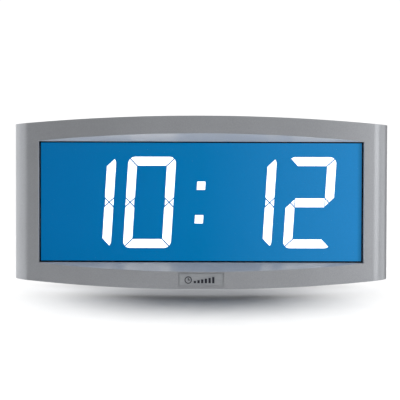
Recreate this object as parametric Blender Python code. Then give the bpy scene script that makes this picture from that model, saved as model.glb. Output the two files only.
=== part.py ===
"""Digital wall clock: a wide LCD display in a bow-fronted case that hangs on a steel wall plate.

Metres, +Z up. The origin is on the wall, at the middle of the case, and the front faces -Y.
Depths in this file are measured forwards from the wall, so a depth d lies at y = -d.
"""

import math

import bmesh
import bpy
from mathutils import Matrix, Vector

# Case outline
CASE_WIDTH = 0.283
CASE_SIDE_HEIGHT = 0.1168
CASE_ARCH = 0.0066  # rise of the upper and lower edges from the ends to the middle
FRONT_BULGE = 0.014  # how far the middle of the front stands ahead of its ends
CORNER_RADIUS = 0.0145
RIM_RADIUS = 0.0023
SKIN = 0.0025
GAP = 0.0003  # between neighbours that touch on the real object
OVERRUN = 0.001  # how far a cutter passes the surface it opens, and a joined shape sinks in

# Window in the bezel
SIDE_BORDER = 0.0193
EDGE_BORDER = 0.0128  # above and below the window, at the ends of the case
WINDOW_SETBACK = 0.0111  # from the foremost point back to the window's plane
REVEAL_SLOPE = 0.55  # rise of the sloping reveals per unit of depth, above and below
SIDE_REVEAL_SLOPE = 1.0
LEDGE = 0.0015
MASK_BORDER = 0.001

# Display stack, front to back
PANE_OVERLAP = 0.0026  # the pane reaches this far behind the ledge
PANE_THICKNESS = 0.002
MASK_THICKNESS = 0.0005
POLARISER_THICKNESS = 0.0004
GLASS_THICKNESS = 0.0011
CONTACT_LEDGE = 0.003  # bare edge of the rear glass that carries the contacts
DIFFUSER_THICKNESS = 0.0006
GUIDE_THICKNESS = 0.005
REFLECTOR_THICKNESS = 0.0004
BOARD_THICKNESS = 0.0016
FRAME_WALL = 0.0032
LED_BOARD_THICKNESS = 0.0028
ZEBRA_THICKNESS = 0.0018
ZEBRA_END_MARGIN = 0.016

# Rear shell
TUB_BACK = 0.004  # from the wall to the shell's back panel
BOARD_SPACE = 0.0165  # between the back panel and the circuit board
FLANGE_DEPTH = 0.016  # from the wall to the shell's flange and the bezel's back edge
FLANGE_THICKNESS = 0.0025
TUB_SIDE_MARGIN = 0.0195
TUB_EDGE_MARGIN = 0.009
TUB_CHAMFER = 0.008

# Components behind the circuit board, each with its place on X and Z first
CHIPS = {  # x, z, width, length, height
    "microcontroller": (-0.022, 0.012, 0.012, 0.012, 0.0016),
    "display_driver_left": (-0.052, 0.014, 0.010, 0.010, 0.0014),
    "display_driver_right": (0.024, 0.012, 0.010, 0.010, 0.0014),
    "supply_fuse": (0.041, -0.023, 0.008, 0.009, 0.008),
}
CANS = {  # x, z, radius, height, look
    "smoothing_capacitor": (0.044, 0.006, 0.005, 0.0125, "sleeve_blue"),
    "backlight_inductor": (-0.050, -0.018, 0.0055, 0.006, "chip_black"),
}
TERMINALS = {  # x, poles, pitch
    "supply_terminal": (0.015, 3, 0.005),
    "signal_terminal": (-0.014, 4, 0.0045),
}
TERMINAL_HEIGHT = 0.010
CRYSTAL = (-0.002, 0.026, 0.0055, 0.0023, 0.0035, 0.002)  # x, z, half sizes, height, corner radius
CELL = (-0.080, -0.014, 0.010, 0.0032)  # x, z, radius, height
HOLDER_WALL = 0.002
HOLDER_FLOOR = 0.0015
SUPPLY_MODULE = (0.070, -0.002, 0.016, 0.0125, 0.0015)  # x, z, half sizes, corner radius
MODULE_HEADROOM = 0.0025  # from the module to the tub's back panel

# Wall plate and hinge
PLATE_THICKNESS = 0.0015
PLATE_SIDE_MARGIN = 0.022  # from the tub's outline in to the plate's
PLATE_EDGE_MARGIN = 0.008
HINGE_FROM_TUB_TOP = 0.013
HINGE_DEPTH = 0.008
HOOK_SPACING = 0.140
HOOK_WIDTH = 0.016
LIP_HEIGHT = 0.0025  # above the rod's centre
ROD_RADIUS = 0.002
EAR_THICKNESS = 0.003
EAR_CLEARANCE = 0.0015  # from a hook to the ears beside it
EAR_HALF_HEIGHT = 0.005
EAR_BEYOND_ROD = 0.0045  # from the rod's axis to the ears' free ends
POST_HALF_WIDTH = 0.005
POST_HALF_DEPTH = 0.0045
POST_HEIGHT = 0.009
POST_BORE = 0.008
WALL_SLOT_LENGTH = 0.012
WALL_SLOT_WIDTH = 0.0052
UPPER_SLOT_DROP = 0.0082  # below the window that a hook is punched from
LOWER_SLOT_RISE = 0.012  # above the plate's lower edge
HOOK_BLANK = 0.013
TAB_REACH = 0.014
TAB_WIDTH = 0.030
TAB_CLEARANCE = 0.001  # from the tub's underside down to the tab
CABLE_OPENING_MARGIN = 0.002  # round the wiring cover

# Fasteners
CASE_SCREW_RADIUS = 0.00145
CASE_SCREW_LENGTH = 0.012
BOSS_RADIUS = 0.0032
BOSS_INSET = 0.0085  # from the side of the case to a boss's axis
CASE_BOSS_FROM_EDGE = 0.017
SMALL_SCREW_RADIUS = 0.0011
LOCK_SCREW_RADIUS = 0.002
LOCK_SCREW_REACH = 0.0075  # above the tub floor
LOCK_SCREW_DEPTH = 0.010
LOCK_HEAD_CLEARANCE = 0.0008  # under the tab, with the screw slackened
BOARD_SCREW_LENGTH = 0.007
LUG_THICKNESS = 0.003
CASE_HEAD = (0.0028, 0.002)  # radius and height of a pan head
FRAME_HEAD = (0.0026, 0.0018)
BOARD_HEAD = (0.002, 0.0014)
COVER_HEAD = (0.002, 0.0009)
LOCK_HEAD = (0.004, 0.003)
LUG_BELOW_FRAME_FRONT = 0.0058
LUG_SCREW_GRIP = 0.005

# Setting buttons, on the underside at the right
BUTTON_X = (0.084, 0.100)
BUTTON_DEPTH = 0.0125
BUTTON_RADIUS = 0.003
BUTTON_PROUD = 0.002
BUTTON_TRAVEL = 0.0008
PLUNGER_RADIUS = 0.0017
KEY_BOARD_ABOVE_FLOOR = 0.0095

# Badge
BADGE_WIDTH = 0.0328
BADGE_HEIGHT = 0.0099
BADGE_THICKNESS = 0.0008
BADGE_RECESS = 0.0007
BADGE_ABOVE_EDGE = 0.0071  # from the case's lower edge up to the badge's middle

# Wiring cover
COVER_WIDTH = 0.070
COVER_HEIGHT = 0.030
COVER_THICKNESS = 0.0015
COVER_LAP = 0.005
COVER_FROM_TUB_FLOOR = 0.030  # from the tub's underside up to the cover's middle
CABLE_RADIUS = 0.0035

ARC_STEPS = 20
CORNER_STEPS = 6

# Values that follow from the sizes above
HALF_WIDTH = CASE_WIDTH / 2
HALF_SIDE = CASE_SIDE_HEIGHT / 2
WINDOW_X = HALF_WIDTH - SIDE_BORDER
WINDOW_Z = HALF_SIDE - EDGE_BORDER
PANE_X = WINDOW_X + PANE_OVERLAP
PANE_Z = WINDOW_Z + PANE_OVERLAP
ACTIVE_X = WINDOW_X - MASK_BORDER
ACTIVE_Z = WINDOW_Z - MASK_BORDER

# Depths of the display stack, built up from the circuit board forwards
BOARD_BACK = TUB_BACK + SKIN + BOARD_SPACE
BOARD_FRONT = BOARD_BACK + BOARD_THICKNESS
REFLECTOR_BACK = BOARD_FRONT + GAP
GUIDE_BACK = REFLECTOR_BACK + REFLECTOR_THICKNESS + GAP
DIFFUSER_BACK = GUIDE_BACK + GUIDE_THICKNESS + GAP
REAR_POLARISER_BACK = DIFFUSER_BACK + DIFFUSER_THICKNESS + GAP
REAR_GLASS_BACK = REAR_POLARISER_BACK + POLARISER_THICKNESS + GAP
FRONT_GLASS_BACK = REAR_GLASS_BACK + GLASS_THICKNESS + GAP
FRONT_POLARISER_BACK = FRONT_GLASS_BACK + GLASS_THICKNESS + GAP
MASK_BACK = FRONT_POLARISER_BACK + POLARISER_THICKNESS + GAP
FRAME_FRONT = MASK_BACK + MASK_THICKNESS
PANE_BACK = FRAME_FRONT + GAP
LEDGE_BACK = PANE_BACK + PANE_THICKNESS + GAP
WINDOW_DEPTH = LEDGE_BACK + LEDGE
CASE_DEPTH = WINDOW_DEPTH + WINDOW_SETBACK
FLANGE_FRONT = FLANGE_DEPTH + FLANGE_THICKNESS

GUIDE_POCKET_X = PANE_X - 2 * GAP
GUIDE_POCKET_Z = ACTIVE_Z + 2 * GAP
FRAME_X = PANE_X + GAP + FRAME_WALL
FRAME_Z = PANE_Z + GAP + FRAME_WALL
BOSS_X = HALF_WIDTH - BOSS_INSET

TUB_X = HALF_WIDTH - TUB_SIDE_MARGIN
TUB_Z = HALF_SIDE - TUB_EDGE_MARGIN
TUB_FLOOR = -TUB_Z + SKIN
PANEL_FRONT = TUB_BACK + SKIN
HINGE_Z = TUB_Z - HINGE_FROM_TUB_TOP
PLATE_X = TUB_X - PLATE_SIDE_MARGIN
PLATE_Z = TUB_Z - PLATE_EDGE_MARGIN
TAB_TOP = -TUB_Z - TAB_CLEARANCE
COVER_Z = -TUB_Z + COVER_FROM_TUB_FLOOR
LUG_FRONT = FRAME_FRONT - LUG_BELOW_FRAME_FRONT
KEY_BOARD_Z = TUB_FLOOR + KEY_BOARD_ABOVE_FLOOR

# colour (linear red, green, blue), roughness, metallic
MATERIALS = {
    "silver_plastic": ((0.30, 0.31, 0.33), 0.42, 0.35),
    "grey_plastic": ((0.16, 0.165, 0.175), 0.55, 0.0),
    "zinc_steel": ((0.58, 0.60, 0.62), 0.35, 1.0),
    "clear_acrylic": ((0.90, 0.94, 0.96), 0.08, 0.0),
    "black_print": ((0.012, 0.012, 0.014), 0.5, 0.0),
    "blue_film": ((0.0, 0.19, 0.48), 0.3, 0.0),
    "glass": ((0.72, 0.80, 0.82), 0.05, 0.0),
    "white_plastic": ((0.82, 0.83, 0.84), 0.5, 0.0),
    "white_film": ((0.90, 0.90, 0.90), 0.7, 0.0),
    "rubber": ((0.03, 0.03, 0.032), 0.8, 0.0),
    "board_green": ((0.01, 0.11, 0.05), 0.45, 0.0),
    "chip_black": ((0.02, 0.02, 0.022), 0.4, 0.0),
    "terminal_green": ((0.02, 0.22, 0.10), 0.5, 0.0),
    "core_yellow": ((0.55, 0.40, 0.05), 0.5, 0.0),
    "sleeve_blue": ((0.02, 0.04, 0.13), 0.35, 0.0),
    "brushed_badge": ((0.42, 0.43, 0.45), 0.35, 0.8),
    "key_white": ((0.70, 0.71, 0.72), 0.45, 0.0),
}


def material(name):
    """The named Principled material, made once."""
    found = bpy.data.materials.get(name)
    if found:
        return found
    made = bpy.data.materials.new(name)
    made.use_nodes = True
    shader = made.node_tree.nodes["Principled BSDF"]
    colour, roughness, metallic = MATERIALS[name]
    shader.inputs["Base Color"].default_value = (*colour, 1.0)
    shader.inputs["Roughness"].default_value = roughness
    shader.inputs["Metallic"].default_value = metallic
    made.diffuse_color = (*colour, 1.0)
    return made


def add_box(bm, x, depth, z):
    """A box between two values on each axis, the second of them a depth from the wall."""
    low = Vector((min(x), -max(depth), min(z)))
    high = Vector((max(x), -min(depth), max(z)))
    made = bmesh.ops.create_cube(bm, size=1.0)
    bmesh.ops.scale(bm, vec=high - low, verts=made["verts"])
    bmesh.ops.translate(bm, vec=(low + high) / 2, verts=made["verts"])
    return made["verts"]


def add_centred_box(bm, half_x, depth, half_z, x=0.0, z=0.0):
    return add_box(bm, (x - half_x, x + half_x), depth, (z - half_z, z + half_z))


def add_rod(bm, axis, radius, along, x=0.0, depth=0.0, z=0.0, segments=24, tip_radius=None):
    """A cylinder or cone along X, the depth or Z, between two values on that axis."""
    start, end = along
    turn = {"X": Matrix.Rotation(math.pi / 2, 3, "Y"), "DEPTH": Matrix.Rotation(math.pi / 2, 3, "X"),
            "Z": Matrix.Identity(3)}[axis]
    middle = {"X": ((start + end) / 2, -depth, z), "DEPTH": (x, -(start + end) / 2, z),
              "Z": (x, -depth, (start + end) / 2)}[axis]
    place = Matrix.Translation(middle) @ turn.to_4x4()
    made = bmesh.ops.create_cone(
        bm, cap_ends=True, segments=segments, radius1=radius,
        radius2=radius if tip_radius is None else tip_radius, depth=end - start, matrix=place,
    )
    return made["verts"]


def bevel(bm, edges, offset, segments=1):
    bmesh.ops.bevel(bm, geom=edges, offset=offset, segments=segments, profile=0.5, affect="EDGES")


def edges_where(verts, test):
    """The edges of these vertices whose two ends both pass the test."""
    found = {edge for vert in verts for edge in vert.link_edges}
    return [edge for edge in found if all(test(vert.co) for vert in edge.verts)]


def round_corners(bm, verts, axis, radius, segments=4):
    """Rounds a box's four edges along an axis: 0 for X, 1 for the depth, 2 for Z."""
    found = {edge for vert in verts for edge in vert.link_edges}
    along = [e for e in found if abs((e.verts[0].co - e.verts[1].co).normalized()[axis]) > 0.99]
    bevel(bm, along, radius, segments)


def place_of(made):
    """Where an object's origin lies in the part's frame. No parent is turned, so the locations add up."""
    place = Vector()
    while made:
        place += made.location
        made = made.parent
    return place


def finish(name, bm, look, origin=(0.0, 0.0, 0.0), parent=None, smooth=False):
    """Turns a mesh drawn in the part's frame into an object with its origin at the point given."""
    origin = Vector(origin)
    bmesh.ops.translate(bm, vec=-origin, verts=bm.verts)
    bmesh.ops.recalc_face_normals(bm, faces=bm.faces)
    mesh = bpy.data.meshes.new(name)
    bm.to_mesh(mesh)
    bm.free()
    made = bpy.data.objects.new(name, mesh)
    bpy.context.scene.collection.objects.link(made)
    made.parent = parent
    made.location = origin - place_of(parent)
    if look:
        mesh.materials.append(material(look))
    if smooth:
        mesh.shade_smooth()
        mesh.set_sharp_from_angle(angle=math.radians(35))
    return made


def combine(target, bm, operation, name):
    """A Boolean of the target with shapes drawn in the part's frame, kept as a hidden helper on it."""
    helper = finish(name, bm, None, place_of(target), target)
    helper.hide_render = True
    helper.display_type = "WIRE"
    step = target.modifiers.new(name, "BOOLEAN")
    step.operation = operation
    step.solver = "EXACT"
    step.object = helper
    return helper


def cut(target, bm, name):
    return combine(target, bm, "DIFFERENCE", f"{target.name}.{name}")


def join(target, bm, name):
    return combine(target, bm, "UNION", f"{target.name}.{name}")


def pivot(name, location, parent=None):
    made = bpy.data.objects.new(name, None)
    made.empty_display_size = 0.01
    made.parent = parent
    made.location = Vector(location) - place_of(parent)
    bpy.context.scene.collection.objects.link(made)
    return made


def arc_drop(x, half, rise):
    """How far a circular arc that rises by this much over its half width has dropped at x."""
    radius = (half * half + rise * rise) / (2 * rise)
    return radius - math.sqrt(radius * radius - x * x)


def edge_height(x, inset=0.0):
    """Half the case's height at x, less an inset."""
    return HALF_SIDE + CASE_ARCH - arc_drop(x, HALF_WIDTH, CASE_ARCH) - inset


def plan_points(inset=0.0):
    """(x, depth) along the bowed front of the case from left to right, corners rounded, less an inset."""
    radius = (HALF_WIDTH**2 + FRONT_BULGE**2) / (2 * FRONT_BULGE)
    centre_depth = CASE_DEPTH - radius
    corner_x = HALF_WIDTH - CORNER_RADIUS
    corner_depth = centre_depth + math.sqrt((radius - CORNER_RADIUS) ** 2 - corner_x**2)
    turn = math.atan2(corner_x, corner_depth - centre_depth)
    half = []
    for step in range(ARC_STEPS // 2):
        angle = turn * step / (ARC_STEPS // 2)
        half.append(((radius - inset) * math.sin(angle), centre_depth + (radius - inset) * math.cos(angle)))
    for step in range(CORNER_STEPS + 1):
        angle = turn + (math.pi / 2 - turn) * step / CORNER_STEPS
        reach = CORNER_RADIUS - inset
        half.append((corner_x + reach * math.sin(angle), corner_depth + reach * math.cos(angle)))
    return [(-x, depth) for x, depth in half[:0:-1]] + half


def arched_block(front, back, inset=0.0):
    """A solid with the case's arched upper and lower edges, between a front line in plan and a flat back."""
    bm = bmesh.new()
    bmesh.ops.create_grid(bm, x_segments=len(front) - 1, y_segments=1, size=1.0)
    columns = sorted(bm.verts, key=lambda vert: (round(vert.co.x, 6), vert.co.y))
    for index, vert in enumerate(columns):
        x, depth = front[index // 2]
        vert.co = (x, -(depth if index % 2 == 0 else back), -edge_height(x, inset))
    made = bmesh.ops.extrude_face_region(bm, geom=bm.faces[:])
    for vert in (item for item in made["geom"] if isinstance(item, bmesh.types.BMVert)):
        vert.co.z = edge_height(vert.co.x, inset)
    bmesh.ops.recalc_face_normals(bm, faces=bm.faces)
    return bm


def front_bezel(case):
    """The bow-fronted moulding, hollow behind, with the window's funnel and screw bosses standing inside."""
    bm = arched_block(plan_points(), FLANGE_DEPTH)
    rim = [
        edge for edge in bm.edges
        if len(edge.link_faces) == 2 and edge.calc_face_angle() > math.radians(50)
        and not all(abs(vert.co.y + FLANGE_DEPTH) < GAP / 3 for vert in edge.verts)
        and edge.verts[0].co.z * edge.verts[1].co.z > 0
    ]
    bevel(bm, rim, RIM_RADIUS, 3)
    bezel = finish("front_bezel", bm, "silver_plastic", parent=case, smooth=True)

    # The hollow, less what stands in it: the funnel round the window and the bosses.
    hollow = arched_block(plan_points(SKIN), TUB_BACK, SKIN)
    helper = cut(bezel, hollow, "hollow")
    kept = bmesh.new()
    wall = FRAME_WALL - GAP
    outer = CASE_DEPTH + 2 * OVERRUN
    back = FRAME_FRONT + GAP
    funnel = add_box(kept, (-PANE_X - wall, PANE_X + wall), (back, outer), (-PANE_Z - wall, PANE_Z + wall))
    flare = (outer - WINDOW_DEPTH) * REVEAL_SLOPE + SKIN - PANE_OVERLAP - wall
    for vert in funnel:
        if vert.co.y < -back - GAP:
            vert.co.z += math.copysign(max(flare, 0.0), vert.co.z)
    for side in (-1, 1):
        for z in case_boss_heights():
            add_rod(kept, "DEPTH", BOSS_RADIUS, (FLANGE_FRONT + GAP, outer), x=side * BOSS_X, z=z)
        for z in lug_heights():
            add_rod(kept, "DEPTH", BOSS_RADIUS, (LUG_FRONT + GAP, outer), x=side * BOSS_X, z=z)
    combine(helper, kept, "DIFFERENCE", "front_bezel.kept")

    # The window: straight through the ledge, then flaring to the bowed front.
    opening = bmesh.new()
    add_centred_box(opening, WINDOW_X, (LEDGE_BACK - 3 * OVERRUN, WINDOW_DEPTH), WINDOW_Z)
    flare_face = [f for f in opening.faces if all(v.co.y < -WINDOW_DEPTH + GAP / 3 for v in f.verts)]
    reach = outer - WINDOW_DEPTH
    grown = bmesh.ops.extrude_face_region(opening, geom=flare_face)
    bmesh.ops.delete(opening, geom=flare_face, context="FACES_ONLY")
    for vert in (item for item in grown["geom"] if isinstance(item, bmesh.types.BMVert)):
        vert.co.y -= reach
        vert.co.x += math.copysign(reach * SIDE_REVEAL_SLOPE, vert.co.x)
        vert.co.z += math.copysign(reach * REVEAL_SLOPE, vert.co.z)
    cut(bezel, opening, "window")
    pocket = bmesh.new()
    add_centred_box(pocket, PANE_X + GAP, (FRAME_FRONT - OVERRUN, LEDGE_BACK), PANE_Z + GAP)
    cut(bezel, pocket, "pane_pocket")

    pilots = bmesh.new()
    bore = CASE_SCREW_RADIUS + GAP
    for side in (-1, 1):
        for z in case_boss_heights():
            end = FLANGE_DEPTH + CASE_SCREW_LENGTH + 2 * GAP
            add_rod(pilots, "DEPTH", bore, (FLANGE_FRONT - OVERRUN, end), x=side * BOSS_X, z=z, segments=16)
        for z in lug_heights():
            end = LUG_FRONT + LUG_SCREW_GRIP + 2 * GAP
            add_rod(pilots, "DEPTH", bore, (LUG_FRONT - OVERRUN, end), x=side * BOSS_X, z=z, segments=16)
    cut(bezel, pilots, "pilots")

    recess = bmesh.new()
    badge_box(recess, GAP, badge_floor(), badge_floor() + 0.004)
    cut(bezel, recess, "badge_recess")


def case_boss_heights():
    z = HALF_SIDE - CASE_BOSS_FROM_EDGE
    return (-z, z)


def lug_heights():
    z = (HALF_SIDE - CASE_BOSS_FROM_EDGE) / 2
    return (-z, z)


def badge_z():
    return -edge_height(0.0) + BADGE_ABOVE_EDGE


def badge_floor():
    """Depth of the flat floor of the badge's recess, set by the bowed front at the badge's ends."""
    return CASE_DEPTH - arc_drop(BADGE_WIDTH / 2, HALF_WIDTH, FRONT_BULGE) - BADGE_RECESS


def badge_box(bm, margin, back, front):
    add_centred_box(bm, BADGE_WIDTH / 2 + margin, (back, front), BADGE_HEIGHT / 2 + margin, z=badge_z())


def badge_plate(case):
    bm = bmesh.new()
    back = badge_floor() + GAP
    badge_box(bm, 0.0, back, back + BADGE_THICKNESS)
    front = edges_where(bm.verts, lambda co: co.y < -back - GAP)
    bevel(bm, front, 0.0002)
    finish("badge_plate", bm, "brushed_badge", (0.0, -back, badge_z()), case)


def sheet(name, half_x, half_z, back, thickness, look, case):
    """A plain rectangular layer of the display stack."""
    bm = bmesh.new()
    add_centred_box(bm, half_x, (back, back + thickness), half_z)
    return finish(name, bm, look, (0.0, -back, 0.0), case)


def display_stack(case):
    """Everything between the window's ledge and the circuit board."""
    sheet("window_pane", PANE_X, PANE_Z, PANE_BACK, PANE_THICKNESS, "clear_acrylic", case)
    mask = sheet("display_mask", PANE_X, PANE_Z, MASK_BACK, MASK_THICKNESS, "black_print", case)
    hole = bmesh.new()
    add_centred_box(hole, ACTIVE_X, (MASK_BACK - OVERRUN, MASK_BACK + MASK_THICKNESS + OVERRUN), ACTIVE_Z)
    cut(mask, hole, "active_area")

    glass_z = PANE_Z - CONTACT_LEDGE
    film_x, film_z = GUIDE_POCKET_X - GAP, GUIDE_POCKET_Z - GAP
    sheet("front_polariser", PANE_X, glass_z, FRONT_POLARISER_BACK, POLARISER_THICKNESS, "blue_film", case)
    sheet("lcd_front_glass", PANE_X, glass_z, FRONT_GLASS_BACK, GLASS_THICKNESS, "glass", case)
    sheet("lcd_rear_glass", PANE_X, PANE_Z, REAR_GLASS_BACK, GLASS_THICKNESS, "glass", case)
    sheet("rear_polariser", film_x, film_z, REAR_POLARISER_BACK, POLARISER_THICKNESS, "blue_film", case)
    sheet("diffuser_sheet", film_x, film_z, DIFFUSER_BACK, DIFFUSER_THICKNESS, "white_film", case)
    sheet("reflector_sheet", film_x, film_z, REFLECTOR_BACK, REFLECTOR_THICKNESS, "white_film", case)
    guide_x = film_x - LED_BOARD_THICKNESS - GAP
    sheet("light_guide", guide_x, film_z, GUIDE_BACK, GUIDE_THICKNESS, "clear_acrylic", case)
    led_strip("led_strip_left", -1, guide_x, film_x, film_z, case)
    led_strip("led_strip_right", 1, guide_x, film_x, film_z, case)


def led_strip(name, side, inner_x, outer_x, half_z, case):
    """A narrow board along an end of the light guide, with its row of lamps facing the guide."""
    back, front = GUIDE_BACK + 0.0002, GUIDE_BACK + GUIDE_THICKNESS - 0.0002
    board_x = outer_x - LED_BOARD_THICKNESS / 2
    bm = bmesh.new()
    add_box(bm, (side * board_x, side * outer_x), (back, front), (-half_z + 0.001, half_z - 0.001))
    strip = finish(name, bm, "white_plastic", (side * outer_x, -back, 0.0), case)
    lamps = bmesh.new()
    pitch, width = 0.0125, 0.0035
    count = int((2 * half_z - 0.004) / pitch)
    for index in range(count):
        z = (index - (count - 1) / 2) * pitch
        lamp_x = (side * (inner_x + GAP), side * (board_x + 0.0004))
        add_box(lamps, lamp_x, (back + 0.0008, front - 0.0008), (z - width / 2, z + width / 2))
    join(strip, lamps, "lamps")


def display_frame(case):
    """The white carrier that holds the glass, the light guide and the board, and screws into the bezel."""
    back = BOARD_FRONT + GAP
    bm = bmesh.new()
    add_centred_box(bm, FRAME_X, (back, FRAME_FRONT), FRAME_Z)
    frame = finish("display_frame", bm, "white_plastic", (0.0, -back, 0.0), case)

    lugs = bmesh.new()
    for side in (-1, 1):
        for z in lug_heights():
            x = (side * (FRAME_X - OVERRUN), side * (BOSS_X + BOSS_RADIUS))
            add_box(lugs, x, (LUG_FRONT - LUG_THICKNESS, LUG_FRONT), (z - 0.004, z + 0.004))
    join(frame, lugs, "lugs")

    pockets = bmesh.new()
    shoulder = REAR_GLASS_BACK - GAP
    add_centred_box(pockets, PANE_X + GAP, (shoulder, FRAME_FRONT + OVERRUN), PANE_Z + GAP)
    cut(frame, pockets, "glass_pocket")
    through = bmesh.new()
    add_centred_box(through, GUIDE_POCKET_X, (back - OVERRUN, shoulder + OVERRUN), GUIDE_POCKET_Z)
    for side in (-1, 1):
        z = (side * (zebra_z() - GAP), side * (zebra_z() + ZEBRA_THICKNESS + GAP))
        add_box(through, (-zebra_x() - GAP, zebra_x() + GAP), (back - OVERRUN, shoulder + OVERRUN), z)
    bore = CASE_SCREW_RADIUS + GAP
    for side in (-1, 1):
        for z in lug_heights():
            lug = (LUG_FRONT - LUG_THICKNESS - OVERRUN, LUG_FRONT + OVERRUN)
            add_rod(through, "DEPTH", bore, lug, x=side * BOSS_X, z=z, segments=16)
    for x, z in board_screw_places():
        depth = (back - OVERRUN, BOARD_BACK + BOARD_SCREW_LENGTH + GAP)
        add_rod(through, "DEPTH", SMALL_SCREW_RADIUS + GAP, depth, x=x, z=z, segments=12)
    cut(frame, through, "guide_pocket")


def zebra_z():
    """Lower edge of the upper contact strip, behind the bare ledge of the rear glass."""
    return PANE_Z - CONTACT_LEDGE + (CONTACT_LEDGE - ZEBRA_THICKNESS) / 2


def zebra_x():
    return PANE_X - ZEBRA_END_MARGIN


def board_screw_places():
    x = FRAME_X - 0.0038
    z = (GUIDE_POCKET_Z + FRAME_Z) / 2
    return [(sx * x, sz * z) for sx in (-1, 1) for sz in (-1, 1)]


def contact_strips(case):
    """Elastomeric strips that join the glass's contacts to the board."""
    for name, side in (("contact_strip_upper", 1), ("contact_strip_lower", -1)):
        bm = bmesh.new()
        z = (side * zebra_z(), side * (zebra_z() + ZEBRA_THICKNESS))
        add_box(bm, (-zebra_x(), zebra_x()), (BOARD_FRONT + GAP, REAR_GLASS_BACK - GAP), z)
        finish(name, bm, "rubber", (0.0, -BOARD_FRONT, side * zebra_z()), case)


def main_board(case):
    bm = bmesh.new()
    add_centred_box(bm, FRAME_X - 0.0005, (BOARD_BACK, BOARD_FRONT), FRAME_Z - 0.0005)
    board = finish("main_board", bm, "board_green", (0.0, -BOARD_BACK, 0.0), case)
    holes = bmesh.new()
    for x, z in board_screw_places():
        depth = (BOARD_BACK - OVERRUN, BOARD_FRONT + OVERRUN)
        add_rod(holes, "DEPTH", SMALL_SCREW_RADIUS + GAP, depth, x=x, z=z, segments=12)
    cut(board, holes, "screw_holes")


def on_board(height):
    """The two depths of a component that stands this far out of the back of the board."""
    return (BOARD_BACK - GAP - height, BOARD_BACK - GAP)


def chip(name, x, z, width, length, height, case):
    bm = bmesh.new()
    add_centred_box(bm, width / 2, on_board(height), length / 2, x=x, z=z)
    finish(name, bm, "chip_black", (x, -BOARD_BACK, z), case)


def can(name, x, z, radius, height, look, case):
    bm = bmesh.new()
    add_rod(bm, "DEPTH", radius, on_board(height), x=x, z=z)
    finish(name, bm, look, (x, -BOARD_BACK, z), case, smooth=True)


def crystal(case):
    x, z, half_width, half_length, height, corner = CRYSTAL
    bm = bmesh.new()
    verts = add_centred_box(bm, half_width, on_board(height), half_length, x=x, z=z)
    round_corners(bm, verts, 1, corner)
    finish("quartz_crystal", bm, "zinc_steel", (x, -BOARD_BACK, z), case, smooth=True)


def backup_cell(case):
    """A coin cell in an open holder. It keeps the time through a mains failure."""
    x, z, radius, height = CELL
    half = radius + HOLDER_WALL
    bm = bmesh.new()
    add_centred_box(bm, half, on_board(height + HOLDER_FLOOR), half, x=x, z=z)
    holder = finish("cell_holder", bm, "chip_black", (x, -BOARD_BACK, z), case)
    pocket = bmesh.new()
    floor = BOARD_BACK - GAP - HOLDER_FLOOR
    add_rod(pocket, "DEPTH", radius + GAP, (floor - height - OVERRUN, floor), x=x, z=z, segments=32)
    cut(holder, pocket, "pocket")
    cell = bmesh.new()
    add_rod(cell, "DEPTH", radius, (floor - GAP - height, floor - GAP), x=x, z=z, segments=32)
    finish("backup_cell", cell, "zinc_steel", (x, -floor, z), case, smooth=True)


def supply_module(case):
    """The encapsulated supply module, as tall as the space behind the board allows."""
    x, z, half_width, half_length, corner = SUPPLY_MODULE
    bm = bmesh.new()
    verts = add_centred_box(bm, half_width, on_board(BOARD_SPACE - MODULE_HEADROOM), half_length, x=x, z=z)
    round_corners(bm, verts, 1, corner, 2)
    finish("supply_module", bm, "core_yellow", (x, -BOARD_BACK, z), case)


def terminal(name, x, poles, pitch, height, case):
    """A screw terminal block, its screws facing the wiring cover and its wire mouths facing down."""
    half = (poles * pitch + 0.001) / 2
    bm = bmesh.new()
    back, front = on_board(height)
    add_centred_box(bm, half, (back, front), 0.0045, x=x, z=COVER_Z)
    block = finish(name, bm, "terminal_green", (x, -BOARD_BACK, COVER_Z), case)
    holes = bmesh.new()
    for index in range(poles):
        pole_x = x + (index - (poles - 1) / 2) * pitch
        depth = (back - OVERRUN, back + 0.0025)
        add_rod(holes, "DEPTH", pitch * 0.3, depth, x=pole_x, z=COVER_Z, segments=12)
        mouth = (pole_x - pitch * 0.28, pole_x + pitch * 0.28)
        add_box(holes, mouth, (front - 0.006, front - 0.003), (COVER_Z - 0.0055, COVER_Z - 0.0025))
    cut(block, holes, "screws_and_mouths")


def board_parts(case):
    for name, (x, z, width, length, height) in CHIPS.items():
        chip(name, x, z, width, length, height, case)
    for name, (x, z, radius, height, look) in CANS.items():
        can(name, x, z, radius, height, look, case)
    for name, (x, poles, pitch) in TERMINALS.items():
        terminal(name, x, poles, pitch, TERMINAL_HEIGHT, case)
    crystal(case)
    backup_cell(case)
    supply_module(case)


def tub_block(inset, front):
    """The shell's box behind its flange, its upper back edge chamfered to clear the wall as it tilts."""
    bm = bmesh.new()
    back = TUB_BACK + inset
    verts = add_centred_box(bm, TUB_X - inset, (back, front), TUB_Z - inset)
    chamfer = TUB_CHAMFER - inset * (2 - math.sqrt(2))
    bevel(bm, edges_where(verts, lambda co: co.y > -back - GAP and co.z > 0), chamfer)
    return bm


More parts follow.
